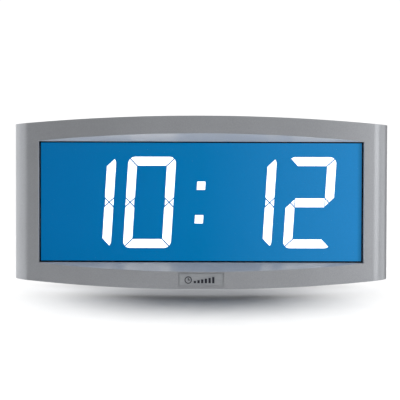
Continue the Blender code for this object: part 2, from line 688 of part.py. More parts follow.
def rear_shell(case):
    """The back moulding: a flange inside the bezel's skirt and a chamfered tub towards the wall."""
    inset = SKIN + GAP
    reach = HALF_WIDTH - inset
    steps = ARC_STEPS
    front = [(reach * (2 * step / steps - 1), FLANGE_FRONT) for step in range(steps + 1)]
    shell = finish("rear_shell", arched_block(front, FLANGE_DEPTH, inset), "grey_plastic", parent=case)
    join(shell, tub_block(0.0, FLANGE_DEPTH + OVERRUN), "tub")
    cut(shell, tub_block(SKIN, FLANGE_FRONT + OVERRUN), "hollow")

    # Ears that carry the hinge rods, and the post for the locking screw.
    added = bmesh.new()
    for centre in (-HOOK_SPACING / 2, HOOK_SPACING / 2):
        for side in (-1, 1):
            near = HOOK_WIDTH / 2 + EAR_CLEARANCE
            x = (centre + side * near, centre + side * (near + EAR_THICKNESS))
            z = (HINGE_Z - EAR_HALF_HEIGHT, HINGE_Z + EAR_HALF_HEIGHT)
            add_box(added, x, (PANEL_FRONT - OVERRUN, HINGE_DEPTH + EAR_BEYOND_ROD), z)
    post = (LOCK_SCREW_DEPTH - POST_HALF_DEPTH, LOCK_SCREW_DEPTH + POST_HALF_DEPTH)
    height = (TUB_FLOOR - OVERRUN, TUB_FLOOR + POST_HEIGHT)
    add_box(added, (-POST_HALF_WIDTH, POST_HALF_WIDTH), post, height)
    join(shell, added, "ears")

    cuts = bmesh.new()
    for centre in (-HOOK_SPACING / 2, HOOK_SPACING / 2):
        slot = HOOK_WIDTH / 2 + 0.001
        depth = (TUB_BACK - OVERRUN, PANEL_FRONT + 0.0002)
        add_box(cuts, (centre - slot, centre + slot), depth, (HINGE_Z - 0.0065, HINGE_Z + 0.0042))
    cover_x, cover_z = COVER_WIDTH / 2 - COVER_LAP, COVER_HEIGHT / 2 - COVER_LAP
    add_centred_box(cuts, cover_x, (TUB_BACK - OVERRUN, PANEL_FRONT + OVERRUN), cover_z, z=COVER_Z)
    for side in (-1, 1):
        x = side * (COVER_WIDTH - COVER_LAP) / 2
        depth = (TUB_BACK - OVERRUN, PANEL_FRONT + OVERRUN)
        add_rod(cuts, "DEPTH", SMALL_SCREW_RADIUS + GAP, depth, x=x, z=COVER_Z, segments=12)
        for z in case_boss_heights():
            depth = (FLANGE_DEPTH - OVERRUN, FLANGE_FRONT + OVERRUN)
            add_rod(cuts, "DEPTH", CASE_SCREW_RADIUS + GAP, depth, x=side * BOSS_X, z=z, segments=16)
    for x in BUTTON_X:
        bore = (-TUB_Z - OVERRUN, TUB_FLOOR + OVERRUN)
        add_rod(cuts, "Z", BUTTON_RADIUS + GAP, bore, x=x, depth=BUTTON_DEPTH)
    bore = (-TUB_Z - OVERRUN, TUB_FLOOR + POST_BORE)
    add_rod(cuts, "Z", LOCK_SCREW_RADIUS + GAP, bore, depth=LOCK_SCREW_DEPTH, segments=16)
    cut(shell, cuts, "openings")

    rods = bmesh.new()
    for centre in (-HOOK_SPACING / 2, HOOK_SPACING / 2):
        reach = HOOK_WIDTH / 2 + EAR_CLEARANCE + EAR_THICKNESS + OVERRUN
        for side in (-1, 1):
            along = sorted((centre + side * (HOOK_WIDTH / 2), centre + side * reach))
            add_rod(rods, "X", ROD_RADIUS + GAP, along, depth=HINGE_DEPTH, z=HINGE_Z, segments=20)
    cut(shell, rods, "rod_bores")


def hinge_rods(case):
    half = HOOK_WIDTH / 2 + EAR_CLEARANCE + EAR_THICKNESS
    for name, centre in (("hinge_rod_left", -HOOK_SPACING / 2), ("hinge_rod_right", HOOK_SPACING / 2)):
        bm = bmesh.new()
        along = (centre - half, centre + half)
        add_rod(bm, "X", ROD_RADIUS, along, depth=HINGE_DEPTH, z=HINGE_Z, segments=20)
        finish(name, bm, "zinc_steel", (centre, -HINGE_DEPTH, HINGE_Z), case, smooth=True)


def wiring_cover(case):
    """The plate over the terminals, with the rubber grommet where the supply cable enters."""
    back = TUB_BACK - GAP - COVER_THICKNESS
    bm = bmesh.new()
    verts = add_centred_box(bm, COVER_WIDTH / 2, (back, back + COVER_THICKNESS), COVER_HEIGHT / 2, z=COVER_Z)
    round_corners(bm, verts, 1, 0.002, 3)
    cover = finish("wiring_cover", bm, "grey_plastic", (0.0, -back, COVER_Z), case)
    holes = bmesh.new()
    neck = CABLE_RADIUS + 0.002
    through = (back - OVERRUN, back + COVER_THICKNESS + OVERRUN)
    add_rod(holes, "DEPTH", neck + GAP, through, z=COVER_Z)
    for side in (-1, 1):
        x = side * (COVER_WIDTH - COVER_LAP) / 2
        add_rod(holes, "DEPTH", SMALL_SCREW_RADIUS + GAP, through, x=x, z=COVER_Z, segments=12)
    cut(cover, holes, "holes")

    flange = 0.0011
    grommet = bmesh.new()
    outside = back - GAP
    inside = back + COVER_THICKNESS + GAP
    add_rod(grommet, "DEPTH", neck, (outside - flange, inside + flange), z=COVER_Z)
    made = finish("cable_grommet", grommet, "rubber", (0.0, -back, COVER_Z), case, smooth=True)
    flanges = {"outer_flange": (outside - flange, outside), "inner_flange": (inside, inside + flange)}
    for name, depth in flanges.items():
        ring = bmesh.new()
        add_rod(ring, "DEPTH", neck + 0.002, depth, z=COVER_Z)
        join(made, ring, name)
    bore = bmesh.new()
    add_rod(bore, "DEPTH", CABLE_RADIUS, (outside - 0.003, inside + 0.003), z=COVER_Z, segments=20)
    cut(made, bore, "bore")


def wall_bumpers(case):
    """Rubber pads that hold the lower edge of the case off the wall plate."""
    for name, side in (("wall_bumper_left", -1), ("wall_bumper_right", 1)):
        x, z = side * (PLATE_X - 0.010), -PLATE_Z + 0.010
        bm = bmesh.new()
        add_rod(bm, "DEPTH", 0.005, (PLATE_THICKNESS + GAP, TUB_BACK - GAP), x=x, z=z)
        finish(name, bm, "rubber", (x, -TUB_BACK, z), case, smooth=True)


def screw(name, axis, radius, seat, tip, head, parent, **place):
    """A screw from under its pan head to its tip along the axis. The head is (radius, height)."""
    shank, look, head_radius = (seat, tip), "zinc_steel", head[0]
    head = (seat - head[1], seat)
    bm = bmesh.new()
    overlap = 0.0002
    toward = 1 if shank[0] >= head[1] - 1e-9 else -1
    span = (shank[0] - overlap, shank[1]) if toward > 0 else (shank[0], shank[1] + overlap)
    add_rod(bm, axis, radius, span, segments=16, **place)
    middle = {"DEPTH": (place.get("x", 0.0), -shank[0], place.get("z", 0.0)),
              "Z": (0.0, -place.get("depth", 0.0), shank[0])}[axis]
    made = finish(name, bm, look, middle, parent, smooth=True)
    cap = bmesh.new()
    add_rod(cap, axis, head_radius, head, segments=20, **place)
    join(made, cap, "head")


def fasteners(case):
    corners = [(side, z) for side in (-1, 1) for z in case_boss_heights()]
    seat = FLANGE_DEPTH - GAP
    for number, (side, z) in enumerate(corners, 1):
        screw(f"case_screw_{number}", "DEPTH", CASE_SCREW_RADIUS, seat, FLANGE_DEPTH + CASE_SCREW_LENGTH,
              CASE_HEAD, case, x=side * BOSS_X, z=z)
    corners = [(side, z) for side in (-1, 1) for z in lug_heights()]
    seat = LUG_FRONT - LUG_THICKNESS - GAP
    for number, (side, z) in enumerate(corners, 1):
        screw(f"frame_screw_{number}", "DEPTH", CASE_SCREW_RADIUS, seat, LUG_FRONT + LUG_SCREW_GRIP,
              FRAME_HEAD, case, x=side * BOSS_X, z=z)
    for number, (x, z) in enumerate(board_screw_places(), 1):
        screw(f"board_screw_{number}", "DEPTH", SMALL_SCREW_RADIUS, BOARD_BACK - GAP,
              BOARD_BACK + BOARD_SCREW_LENGTH, BOARD_HEAD, case, x=x, z=z)
    for name, side in (("cover_screw_left", -1), ("cover_screw_right", 1)):
        screw(name, "DEPTH", SMALL_SCREW_RADIUS, TUB_BACK - COVER_THICKNESS - 2 * GAP, PANEL_FRONT,
              COVER_HEAD, case, x=side * (COVER_WIDTH - COVER_LAP) / 2, z=COVER_Z)
    under_tab = TAB_TOP - PLATE_THICKNESS - LOCK_HEAD_CLEARANCE
    screw("locking_screw", "Z", LOCK_SCREW_RADIUS, under_tab, TUB_FLOOR + LOCK_SCREW_REACH,
          LOCK_HEAD, case, depth=LOCK_SCREW_DEPTH)


def setting_buttons(case):
    """Two caps through the tub's floor, each pressing a switch on a small board above them."""
    board_x = (BUTTON_X[0] - 0.007, BUTTON_X[1] + 0.007)
    bm = bmesh.new()
    depth = (PANEL_FRONT + OVERRUN, BOARD_BACK - 2 * GAP)
    add_box(bm, board_x, depth, (KEY_BOARD_Z, KEY_BOARD_Z + BOARD_THICKNESS))
    finish("key_board", bm, "board_green", (sum(board_x) / 2, -BUTTON_DEPTH, KEY_BOARD_Z), case)
    header = bmesh.new()
    low = KEY_BOARD_Z + BOARD_THICKNESS + GAP
    middle = sum(board_x) / 2
    add_box(header, (middle - 0.0063, middle + 0.0063), on_board(0.0045), (low, low + 0.0025))
    finish("key_header", header, "chip_black", (middle, -BOARD_BACK, low), case)

    switch_top = KEY_BOARD_Z - GAP
    switch_low = switch_top - 0.0035
    plunger_high = switch_low + 0.001
    plunger_low = switch_low - 0.0022
    for number, x in enumerate(BUTTON_X, 1):
        body = bmesh.new()
        half = 0.0031
        depth = (BUTTON_DEPTH - half, BUTTON_DEPTH + half)
        add_box(body, (x - half, x + half), depth, (switch_low, switch_top))
        switch = finish(f"key_switch_{number}", body, "chip_black", (x, -BUTTON_DEPTH, switch_top), case)
        well = bmesh.new()
        bore = (switch_low - OVERRUN, plunger_high + BUTTON_TRAVEL + GAP)
        add_rod(well, "Z", PLUNGER_RADIUS + GAP, bore, x=x, depth=BUTTON_DEPTH, segments=16)
        cut(switch, well, "well")

        axis = pivot(f"button_axis_{number}", (x, -BUTTON_DEPTH, -TUB_Z), case)
        plunger = bmesh.new()
        span = (plunger_low, plunger_high)
        add_rod(plunger, "Z", PLUNGER_RADIUS, span, x=x, depth=BUTTON_DEPTH, segments=16)
        finish(f"switch_plunger_{number}", plunger, "key_white", (x, -BUTTON_DEPTH, plunger_low), axis, True)
        stem = bmesh.new()
        span = (-TUB_Z - BUTTON_PROUD, plunger_low - GAP)
        add_rod(stem, "Z", BUTTON_RADIUS, span, x=x, depth=BUTTON_DEPTH)
        tip = edges_where(stem.verts, lambda co: co.z < -TUB_Z)
        bevel(stem, tip, 0.0004, 2)
        cap = finish(f"button_cap_{number}", stem, "key_white", (x, -BUTTON_DEPTH, -TUB_Z), axis, True)
        collar = bmesh.new()
        seat = TUB_FLOOR + GAP
        add_rod(collar, "Z", BUTTON_RADIUS + 0.0013, (seat, seat + 0.0009), x=x, depth=BUTTON_DEPTH)
        join(cap, collar, "collar")


def wall_plate():
    """The steel plate screwed to the wall, with two upturned hooks and a forked locking tab."""
    bm = bmesh.new()
    verts = add_centred_box(bm, PLATE_X, (0.0, PLATE_THICKNESS), PLATE_Z)
    round_corners(bm, verts, 1, 0.006)
    plate = finish("wall_plate", bm, "zinc_steel")

    leg_top = HINGE_Z - ROD_RADIUS - GAP
    leg_low = leg_top - PLATE_THICKNESS
    lip_back = HINGE_DEPTH + ROD_RADIUS + 2 * GAP
    for name, centre in (("hook_left", -HOOK_SPACING / 2), ("hook_right", HOOK_SPACING / 2)):
        hook = bmesh.new()
        across = (centre - HOOK_WIDTH / 2, centre + HOOK_WIDTH / 2)
        add_box(hook, across, (PLATE_THICKNESS / 2, lip_back + PLATE_THICKNESS), (leg_low, leg_top))
        lip = bmesh.new()
        add_box(lip, across, (lip_back, lip_back + PLATE_THICKNESS), (leg_low + 0.0003, HINGE_Z + LIP_HEIGHT))
        join(plate, hook, name)
        join(plate, lip, f"{name}_lip")

    tongue = bmesh.new()
    tab_low = TAB_TOP - PLATE_THICKNESS
    add_box(tongue, (-TAB_WIDTH / 2, TAB_WIDTH / 2), (0.0, PLATE_THICKNESS), (tab_low, -PLATE_Z + 0.002))
    join(plate, tongue, "tongue")
    tab = bmesh.new()
    tab_x = TAB_WIDTH / 2 - 0.0001
    add_box(tab, (-tab_x, tab_x), (PLATE_THICKNESS / 2, TAB_REACH), (tab_low + 0.0001, TAB_TOP))
    join(plate, tab, "tab")

    cuts = bmesh.new()
    through = (-OVERRUN, PLATE_THICKNESS + OVERRUN)
    for centre in (-HOOK_SPACING / 2, HOOK_SPACING / 2):
        slot = HOOK_WIDTH / 2 + 0.0005
        add_box(cuts, (centre - slot, centre + slot), through, (leg_low - HOOK_BLANK, leg_low))
    opening_x, opening_z = COVER_WIDTH / 2 + CABLE_OPENING_MARGIN, COVER_HEIGHT / 2 + CABLE_OPENING_MARGIN
    add_centred_box(cuts, opening_x, through, opening_z, z=COVER_Z)
    for x in (-HOOK_SPACING / 2, HOOK_SPACING / 2):
        for z in (leg_low - HOOK_BLANK - UPPER_SLOT_DROP, -PLATE_Z + LOWER_SLOT_RISE):
            verts = add_centred_box(cuts, WALL_SLOT_LENGTH / 2, through, WALL_SLOT_WIDTH / 2, x=x, z=z)
            round_corners(cuts, verts, 1, WALL_SLOT_WIDTH / 2 - 0.00005, 5)
    fork = LOCK_SCREW_RADIUS + 0.0004
    notch = (LOCK_SCREW_DEPTH - LOCK_SCREW_RADIUS - 2 * GAP, TAB_REACH + OVERRUN)
    add_box(cuts, (-fork, fork), notch, (tab_low - OVERRUN, TAB_TOP + OVERRUN))
    cut(plate, cuts, "openings")


def main():
    for old in list(bpy.data.objects):
        bpy.data.objects.remove(old, do_unlink=True)
    wall_plate()
    case = pivot("case_hinge", (0.0, -HINGE_DEPTH, HINGE_Z))
    front_bezel(case)
    badge_plate(case)
    display_stack(case)
    display_frame(case)
    contact_strips(case)
    main_board(case)
    board_parts(case)
    rear_shell(case)
    hinge_rods(case)
    wiring_cover(case)
    wall_bumpers(case)
    setting_buttons(case)
    fasteners(case)


main()
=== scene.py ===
"""Wall clock with a segment display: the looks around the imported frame, laid out as a Blender add-on."""

import functools
import math

import bmesh
import bpy
from bpy.props import FloatProperty, FloatVectorProperty, IntProperty, PointerProperty
from mathutils import Matrix, Quaternion, Vector


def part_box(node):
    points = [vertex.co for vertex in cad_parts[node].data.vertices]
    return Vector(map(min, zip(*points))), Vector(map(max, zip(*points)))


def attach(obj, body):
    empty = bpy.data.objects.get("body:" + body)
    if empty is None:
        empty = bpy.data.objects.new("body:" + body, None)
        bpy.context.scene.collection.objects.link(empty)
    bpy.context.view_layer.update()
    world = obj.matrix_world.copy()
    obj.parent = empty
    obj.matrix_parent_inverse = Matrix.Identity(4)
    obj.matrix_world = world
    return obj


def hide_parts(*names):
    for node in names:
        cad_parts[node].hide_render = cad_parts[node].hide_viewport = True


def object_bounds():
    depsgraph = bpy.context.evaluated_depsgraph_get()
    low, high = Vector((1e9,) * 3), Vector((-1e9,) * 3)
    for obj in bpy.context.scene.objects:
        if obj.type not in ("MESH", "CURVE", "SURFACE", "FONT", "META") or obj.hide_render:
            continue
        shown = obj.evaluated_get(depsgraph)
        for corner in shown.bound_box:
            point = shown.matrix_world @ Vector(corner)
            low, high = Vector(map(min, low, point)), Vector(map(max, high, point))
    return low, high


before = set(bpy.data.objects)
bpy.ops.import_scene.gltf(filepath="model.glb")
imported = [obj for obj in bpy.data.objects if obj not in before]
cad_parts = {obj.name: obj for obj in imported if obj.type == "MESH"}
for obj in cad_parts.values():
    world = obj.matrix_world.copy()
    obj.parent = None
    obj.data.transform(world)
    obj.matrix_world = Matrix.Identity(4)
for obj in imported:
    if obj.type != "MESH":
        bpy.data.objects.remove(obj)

bl_info = {
    "name": "Segment display wall clock",
    "version": (1, 0, 0),
    "blender": (4, 5, 0),
    "location": "View3D > Sidebar > Wall clock",
    "description": "Mouldings, display, fixings and studio for a bow-fronted digital wall clock",
    "category": "Object",
}

CAD_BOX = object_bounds()
MM = 0.001
CASE, PLATE = "clock_case", "wall_mount"
GAP = 0.3 * MM  # between neighbours
SKIN = 2.5 * MM  # wall thickness of both mouldings
SHARP = math.radians(32)  # edges sharper than this stay crisp when a piece is shaded smooth
ALONG_DEPTH, ALONG_X, ALONG_Z = "DEPTH", "X", "Z"
BOW_STEPS, CORNER_STEPS = 64, 14
BORE_CLEARANCE = 2 * MM  # how far a cutter runs past the surface it opens
EDGE = 0.1 * MM  # chamfer of turned edges
PATCH_PER_GRAIN = 25


# Reading the frame -------------------------------------------------------------------------------

@functools.lru_cache(maxsize=None)
def reach_of(node):
    """The two values of a CAD node on X, on the depth from the wall, and on Z."""
    low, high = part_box(node)
    return (low.x, high.x), (-high.y, -low.y), (low.z, high.z)


def centre_of(node):
    low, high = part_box(node)
    return (low + high) / 2


# Colours and node materials ----------------------------------------------------------------------

def linear(code):
    """Scene-linear red, green and blue of an sRGB hex colour."""
    parts = [int(code[at:at + 2], 16) / 255 for at in (0, 2, 4)]
    return tuple(p / 12.92 if p <= 0.04045 else ((p + 0.055) / 1.055) ** 2.4 for p in parts)


def shaded(colour, share):
    return tuple(min(1.0, channel * share) for channel in colour)


def add(tree, kind, feeds=None, **settings):
    """Adds a shader node, sets its properties, and fills or links its inputs."""
    made = tree.nodes.new("ShaderNode" + kind)
    for name, value in settings.items():
        setattr(made, name, value)
    for name, value in (feeds or {}).items():
        feed(tree, made.inputs[name], value)
    return made


def feed(tree, socket, value):
    """Links an input to a pattern, or sets it to a constant."""
    if isinstance(value, bpy.types.NodeSocket):
        tree.links.new(value, socket)
    elif socket.type == "RGBA" and len(value) == 3:
        socket.default_value = (*value, 1.0)
    else:
        socket.default_value = value


class Surface:
    """A named material: its Principled shader, and patterns laid out in the object's own coordinates."""

    def __init__(self, name):
        self.material = bpy.data.materials.new(name)
        self.material.use_nodes = True
        self.tree = self.material.node_tree
        self.shader = self.tree.nodes["Principled BSDF"]
        self.where = add(self.tree, "TexCoord").outputs["Object"]

    def mapped(self, **settings):
        return add(self.tree, "Mapping", {"Vector": self.where, **settings}).outputs["Vector"]

    def speckle(self, size, detail=2.0, where=None):
        """Noise whose blotches are about this many metres across."""
        feeds = {"Vector": where or self.where, "Scale": 1.0 / size, "Detail": detail}
        return add(self.tree, "TexNoise", feeds).outputs["Fac"]

    def cells(self, size, output, where=None, **feeds):
        """Voronoi cells about this many metres across."""
        feeds = {"Vector": where or self.where, "Scale": 1.0 / size, **feeds}
        return add(self.tree, "TexVoronoi", feeds).outputs[output]

    def channel(self, colour, name):
        return add(self.tree, "SeparateColor", {"Color": colour}).outputs[name]

    def span(self, driver, low, high, start=0.35, end=0.65):
        """Remaps a pattern's middle range to two values."""
        feeds = {"Value": driver, "From Min": start, "From Max": end, "To Min": low, "To Max": high}
        return add(self.tree, "MapRange", feeds, clamp=True).outputs["Result"]

    def mix(self, share, first, second):
        """Blends two colours by a share. The sockets are numbered because their names repeat."""
        return add(self.tree, "Mix", {0: share, 6: first, 7: second}, data_type="RGBA").outputs[2]

    def ramp(self, driver, stops):
        """A colour ramp from (position, colour) pairs."""
        made = add(self.tree, "ValToRGB", {"Fac": driver})
        elements = made.color_ramp.elements
        while len(elements) < len(stops):
            elements.new(0.5)
        for element, (place, colour) in zip(elements, stops):
            element.position = place
            element.color = (*colour, 1.0)
        return made.outputs["Color"]

    def relief(self, height, depth):
        """Bump from a pattern whose full height is this many metres."""
        made = add(self.tree, "Bump", {"Height": height, "Strength": 1.0, "Distance": depth})
        self.finish(Normal=made.outputs["Normal"])

    def finish(self, **values):
        """Feeds the shader's sockets and gives back the material."""
        for name, value in values.items():
            feed(self.tree, self.shader.inputs[name.replace("_", " ")], value)
        return self.material


def tone(value):
    """A hex code or a grey level as a linear colour."""
    return linear(value) if isinstance(value, str) else (value,) * 3


def plain(name, dark, light, grain, rough, bump, patch=None, **constants):
    """A surface whose colour and gloss wander a little, with a fine relief. Lengths are in millimetres."""
    made = Surface(name)
    fine = made.speckle(grain * MM)
    broad = made.speckle((patch or grain * PATCH_PER_GRAIN) * MM, 3.0)
    made.relief(fine, bump * MM)
    return made.finish(Base_Color=made.mix(made.span(broad, 0.0, 1.0), tone(dark), tone(light)),
                       Roughness=made.span(fine, *rough), **constants)


def silver_lacquer():
    """Silver-grey lacquered ABS: a satin, faintly metallic skin with a fine flake and a soft orange peel."""
    base = tuple(bpy.context.scene.clock_colours.case)
    made = Surface("Silver lacquered ABS")
    glint = made.channel(made.cells(0.35 * MM, "Color"), "Red")
    cloud = made.speckle(28 * MM, 3.0)
    toned = made.mix(made.span(cloud, 0.0, 1.0), shaded(base, 0.955), base)
    sparkle = made.mix(made.span(glint, 0.0, 0.16, 0.0, 1.0), toned, shaded(base, 1.9))
    made.relief(made.speckle(0.9 * MM), 0.006 * MM)
    return made.finish(Base_Color=sparkle, Roughness=made.span(glint, 0.32, 0.4, 0.0, 1.0), Metallic=0.45,
                       Coat_Weight=0.12, Coat_Roughness=0.3)


def grained_abs():
    """Dark grey ABS with a spark-eroded mould grain about half a millimetre across, matt in the hollows, with
    painted shade darkening the hollows.
    """
    base = tuple(bpy.context.scene.clock_colours.rear)
    made = Surface("Grained grey ABS")
    pits = made.cells(0.55 * MM, "Distance")
    cloud = made.speckle(35 * MM, 3.0)
    shade = made.mix(made.span(cloud, 0.0, 1.0), shaded(base, 0.9), shaded(base, 1.08))
    # painted shade: the grain's hollows are darkened towards 0.6 of the colour
    hollow = made.mix(made.span(pits, 0.0, 0.25, 0.1, 0.6), shade, shaded(base, 0.6))
    made.relief(pits, 0.03 * MM)
    return made.finish(Base_Color=hollow, Roughness=made.span(pits, 0.5, 0.66, 0.1, 0.6))


def zinc_plate():
    """Galvanised sheet steel: pale spangle cells a few millimetres wide, with faint rolling lines."""
    made = Surface("Galvanised sheet steel")
    tone = made.channel(made.cells(5.5 * MM, "Color"), "Green")
    rolled = made.speckle(0.5 * MM, where=made.mapped(Scale=(0.04, 1.0, 1.0)))
    spangle = made.mix(tone, linear("B4B9BC"), linear("C2C7CA"))
    base = made.mix(made.span(rolled, 0.0, 0.3), spangle, linear("989EA2"))
    made.relief(rolled, 0.004 * MM)
    return made.finish(Base_Color=base, Roughness=made.span(tone, 0.36, 0.44, 0.0, 1.0), Metallic=1.0)


def bright_zinc():
    """Bright zinc-plated steel for screws and rods: cool silver with a faint straw bloom and tool marks."""
    made = Surface("Bright zinc-plated steel")
    bloom = made.speckle(2.5 * MM, 3.0)
    marks = made.speckle(0.12 * MM)
    base = made.mix(made.span(bloom, 0.0, 1.0), linear("C9CDD1"), linear("D2CDBB"))
    made.relief(marks, 0.004 * MM)
    return made.finish(Base_Color=base, Roughness=made.span(marks, 0.18, 0.34), Metallic=1.0)


def brushed_badge():
    """Brushed aluminium, lacquered grey: hair-fine strokes along its length that streak the light."""
    made = Surface("Brushed grey aluminium")
    strokes = made.speckle(0.16 * MM, 3.0, made.mapped(Scale=(0.03, 1.0, 1.0)))
    base = made.mix(made.span(strokes, 0.0, 1.0), linear("96999D"), linear("A4A7AB"))
    made.relief(strokes, 0.004 * MM)
    return made.finish(Base_Color=base, Roughness=made.span(strokes, 0.38, 0.52), Metallic=0.6)


def display_film():
    """Backlit blue liquid-crystal film: an even saturated glow, with painted light making it a little
    brighter to the right and a painted shade along its right end.
    """
    colours = bpy.context.scene.clock_colours
    made = Surface("Backlit blue liquid-crystal film")
    across = add(made.tree, "SeparateXYZ", {"Vector": made.where}).outputs["X"]
    half = reach_of("display_mask")[0][1]
    share = made.span(across, 0.0, 1.0, -half, half)
    left, middle, right = (tuple(c) for c in (colours.glow_left, colours.glow_middle, colours.glow_right))
    # painted shade: edge, 0.62 of the right end's glow, darkens the last strip at the right end as the
    # ledge's shade
    edge = shaded(right, 0.62)
    # painted light: the ramp brightens the glow from the left end to the right
    glow = made.ramp(share, [(0.0, left), (0.03, left), (0.5, middle), (0.972, right), (0.986, edge),
                             (1.0, edge)])
    weave = made.speckle(0.6 * MM, 1.0)
    woven = made.mix(made.span(weave, 0.0, 0.05), glow, (0.0, 0.02, 0.06))
    return made.finish(Emission_Color=woven, Roughness=made.span(weave, 0.28, 0.34),
                       Base_Color=(0.0, 0.012, 0.04), Emission_Strength=1.0, Specular_IOR_Level=0.1)


def lit_segment():
    """Cleared liquid crystal with the white light guide shining through: pure, flat white."""
    made = Surface("Cleared segment, backlit white")
    light = tuple(bpy.context.scene.clock_colours.segments)
    glow = made.mix(made.span(made.speckle(9 * MM), 0.0, 1.0), light, shaded(light, 0.97))
    return made.finish(Emission_Color=glow, Base_Color=(0.8, 0.8, 0.8), Roughness=0.5, Emission_Strength=1.0)


def clear_acrylic():
    """Water-clear cast acrylic with faint wipe marks. Its low IOR stands for an antireflection coat."""
    made = Surface("Coated clear acrylic")
    wipe = made.speckle(6 * MM, 3.0, made.mapped(Scale=(0.2, 1.0, 1.0)))
    return made.finish(Roughness=made.span(wipe, 0.0, 0.02), Base_Color=(1.0, 1.0, 1.0),
                       Transmission_Weight=1.0, IOR=1.06)


def sheet_glass():
    """Thin soda-lime display glass with a faint sea-green body."""
    made = Surface("Display glass")
    wipe = made.speckle(8 * MM, 3.0)
    return made.finish(Roughness=made.span(wipe, 0.01, 0.05), Base_Color=linear("E6F4EF"),
                       Transmission_Weight=1.0, IOR=1.52)


def guide_acrylic():
    """Clear acrylic light guide with a printed field of white dots 1.2 mm apart that lets the light out."""
    made = Surface("Dotted acrylic light guide")
    dots = made.cells(1.2 * MM, "Distance", made.mapped(Scale=(1.0, 0.0, 1.0)), Randomness=0.0)
    body = made.mix(made.span(dots, 1.0, 0.0, 0.28, 0.36), linear("EAF2F4"), linear("FFFFFF"))
    return made.finish(Base_Color=body, Roughness=made.span(dots, 0.6, 0.06, 0.28, 0.36),
                       Transmission_Weight=0.75, IOR=1.49)


def board_laminate():
    """Green solder-masked laminate: copper tracks show as a lighter green grid over glass weave."""
    made = Surface("Solder-masked laminate")
    black, white = (0.0, 0.0, 0.0), (1.0, 1.0, 1.0)
    tracks = add(made.tree, "TexBrick", {
        "Vector": made.mapped(Rotation=(math.radians(90), 0.0, 0.0)), "Scale": 1.0 / (22 * MM),
        "Color1": black, "Color2": black, "Mortar": white, "Mortar Size": 0.013, "Mortar Smooth": 0.1,
        "Brick Width": 0.9, "Row Height": 0.11}).outputs["Color"]
    weave = made.speckle(0.5 * MM, 1.0)
    mask = made.mix(made.span(weave, 0.0, 0.4), linear("0E4A2B"), linear("13603A"))
    made.relief(tracks, 0.03 * MM)
    return made.finish(Base_Color=made.mix(tracks, mask, linear("2A8A56")),
                       Roughness=made.span(weave, 0.28, 0.4), Coat_Weight=0.3, Coat_Roughness=0.15)


def floor_paper():
    """Matt pale grey studio paper."""
    return plain("Matt pale studio paper", 0.54, 0.56, 1.5, (0.85, 0.95), 0.01, Specular_IOR_Level=0.1)


def make_finishes():
    """Every finish of the object, by the record's slot name."""
    return {
        "silver_plastic": silver_lacquer(),
        "grey_plastic": grained_abs(),
        "plate_steel": zinc_plate(),
        "plated_steel": bright_zinc(),
        "badge_metal": brushed_badge(),
        "blue_film": display_film(),
        "clear_acrylic": clear_acrylic(),
        "display_glass": sheet_glass(),
        "board_laminate": board_laminate(),
        "lit": lit_segment(),
        "guide": guide_acrylic(),
        # screen-printed border: a flat ink black with the mesh's faint grain
        "black_print": plain("Screen-printed black ink", "070708", "0C0C0E", 0.2, (0.5, 0.62), 0.004,
                             Specular_IOR_Level=0.3),
        # diffusing film: matt milk white
        "white_film": plain("Matt white diffusing film", "ECEDED", "F6F6F4", 0.12, (0.6, 0.75), 0.004),
        # glass-filled polycarbonate: warm white, faint flow clouds
        "white_plastic": plain("Moulded white polycarbonate", "DEDFDC", "EAEAE7", 0.4, (0.42, 0.55), 0.01,
                               18),
        # moulded rubber: near black, dusty, dead matt
        "rubber": plain("Moulded black rubber", "161617", "232324", 0.3, (0.72, 0.9), 0.02, 3,
                        Specular_IOR_Level=0.35),
        # epoxy chip package: charcoal with a sandblasted mould skin
        "chip_black": plain("Black epoxy package", "1B1B1D", "27272A", 0.18, (0.45, 0.6), 0.012, 2),
        # polyamide terminal block: mid green, slightly waxy
        "terminal_green": plain("Green polyamide", "1F7A45", "2B8C52", 0.35, (0.42, 0.56), 0.012, 4,
                                Subsurface_Weight=0.05),
        # potted module in its yellow film sleeve
        "module_yellow": plain("Yellow film sleeve", "B89A2C", "D0B23C", 0.5, (0.3, 0.42), 0.01, 6,
                               Coat_Weight=0.2),
        # shrunk vinyl sleeve: deep blue with a soft sheen
        "sleeve_blue": plain("Blue shrink sleeve", "16264F", "1E3263", 0.5, (0.26, 0.38), 0.01, 4,
                             Coat_Weight=0.3),
        # acetal push keys: ivory grey, smooth and slightly slippery
        "key_plastic": plain("Pale grey acetal", "C4C6C8", "D0D2D3", 0.25, (0.34, 0.44), 0.006, 3),
        # fired enamel ink in the badge: near black with a blue cast
        "badge_ink": plain("Blue-black enamel ink", "15161F", "1D1F2B", 0.15, (0.3, 0.4), 0.004, 2),
    }


FINISHES = {}


# Shapes ------------------------------------------------------------------------------------------

def block(bm, x, depth, z):
    """A box between two values on X, on the depth from the wall, and on Z."""
    low = Vector((min(x), -max(depth), min(z)))
    high = Vector((max(x), -min(depth), max(z)))
    made = bmesh.ops.create_cube(bm, size=1.0)["verts"]
    bmesh.ops.scale(bm, vec=high - low, verts=made)
    bmesh.ops.translate(bm, vec=(low + high) / 2, verts=made)
    return made


def centred(half, middle=0.0):
    return (middle - half, middle + half)


def bevel(bm, edges, offset, segments):
    bmesh.ops.bevel(bm, geom=list(edges), offset=offset, offset_type="OFFSET", segments=segments, profile=0.5,
                    affect="EDGES", material=-1, clamp_overlap=True)


def sharp_edges(bm, angle, test=lambda edge: True):
    return [e for e in bm.edges if len(e.link_faces) == 2 and e.calc_face_angle(0.0) > angle and test(e)]


def edges_along_depth(verts):
    found = {edge for vert in verts for edge in vert.link_edges}
    return [e for e in found if abs((e.verts[0].co - e.verts[1].co).normalized().y) > 0.99]


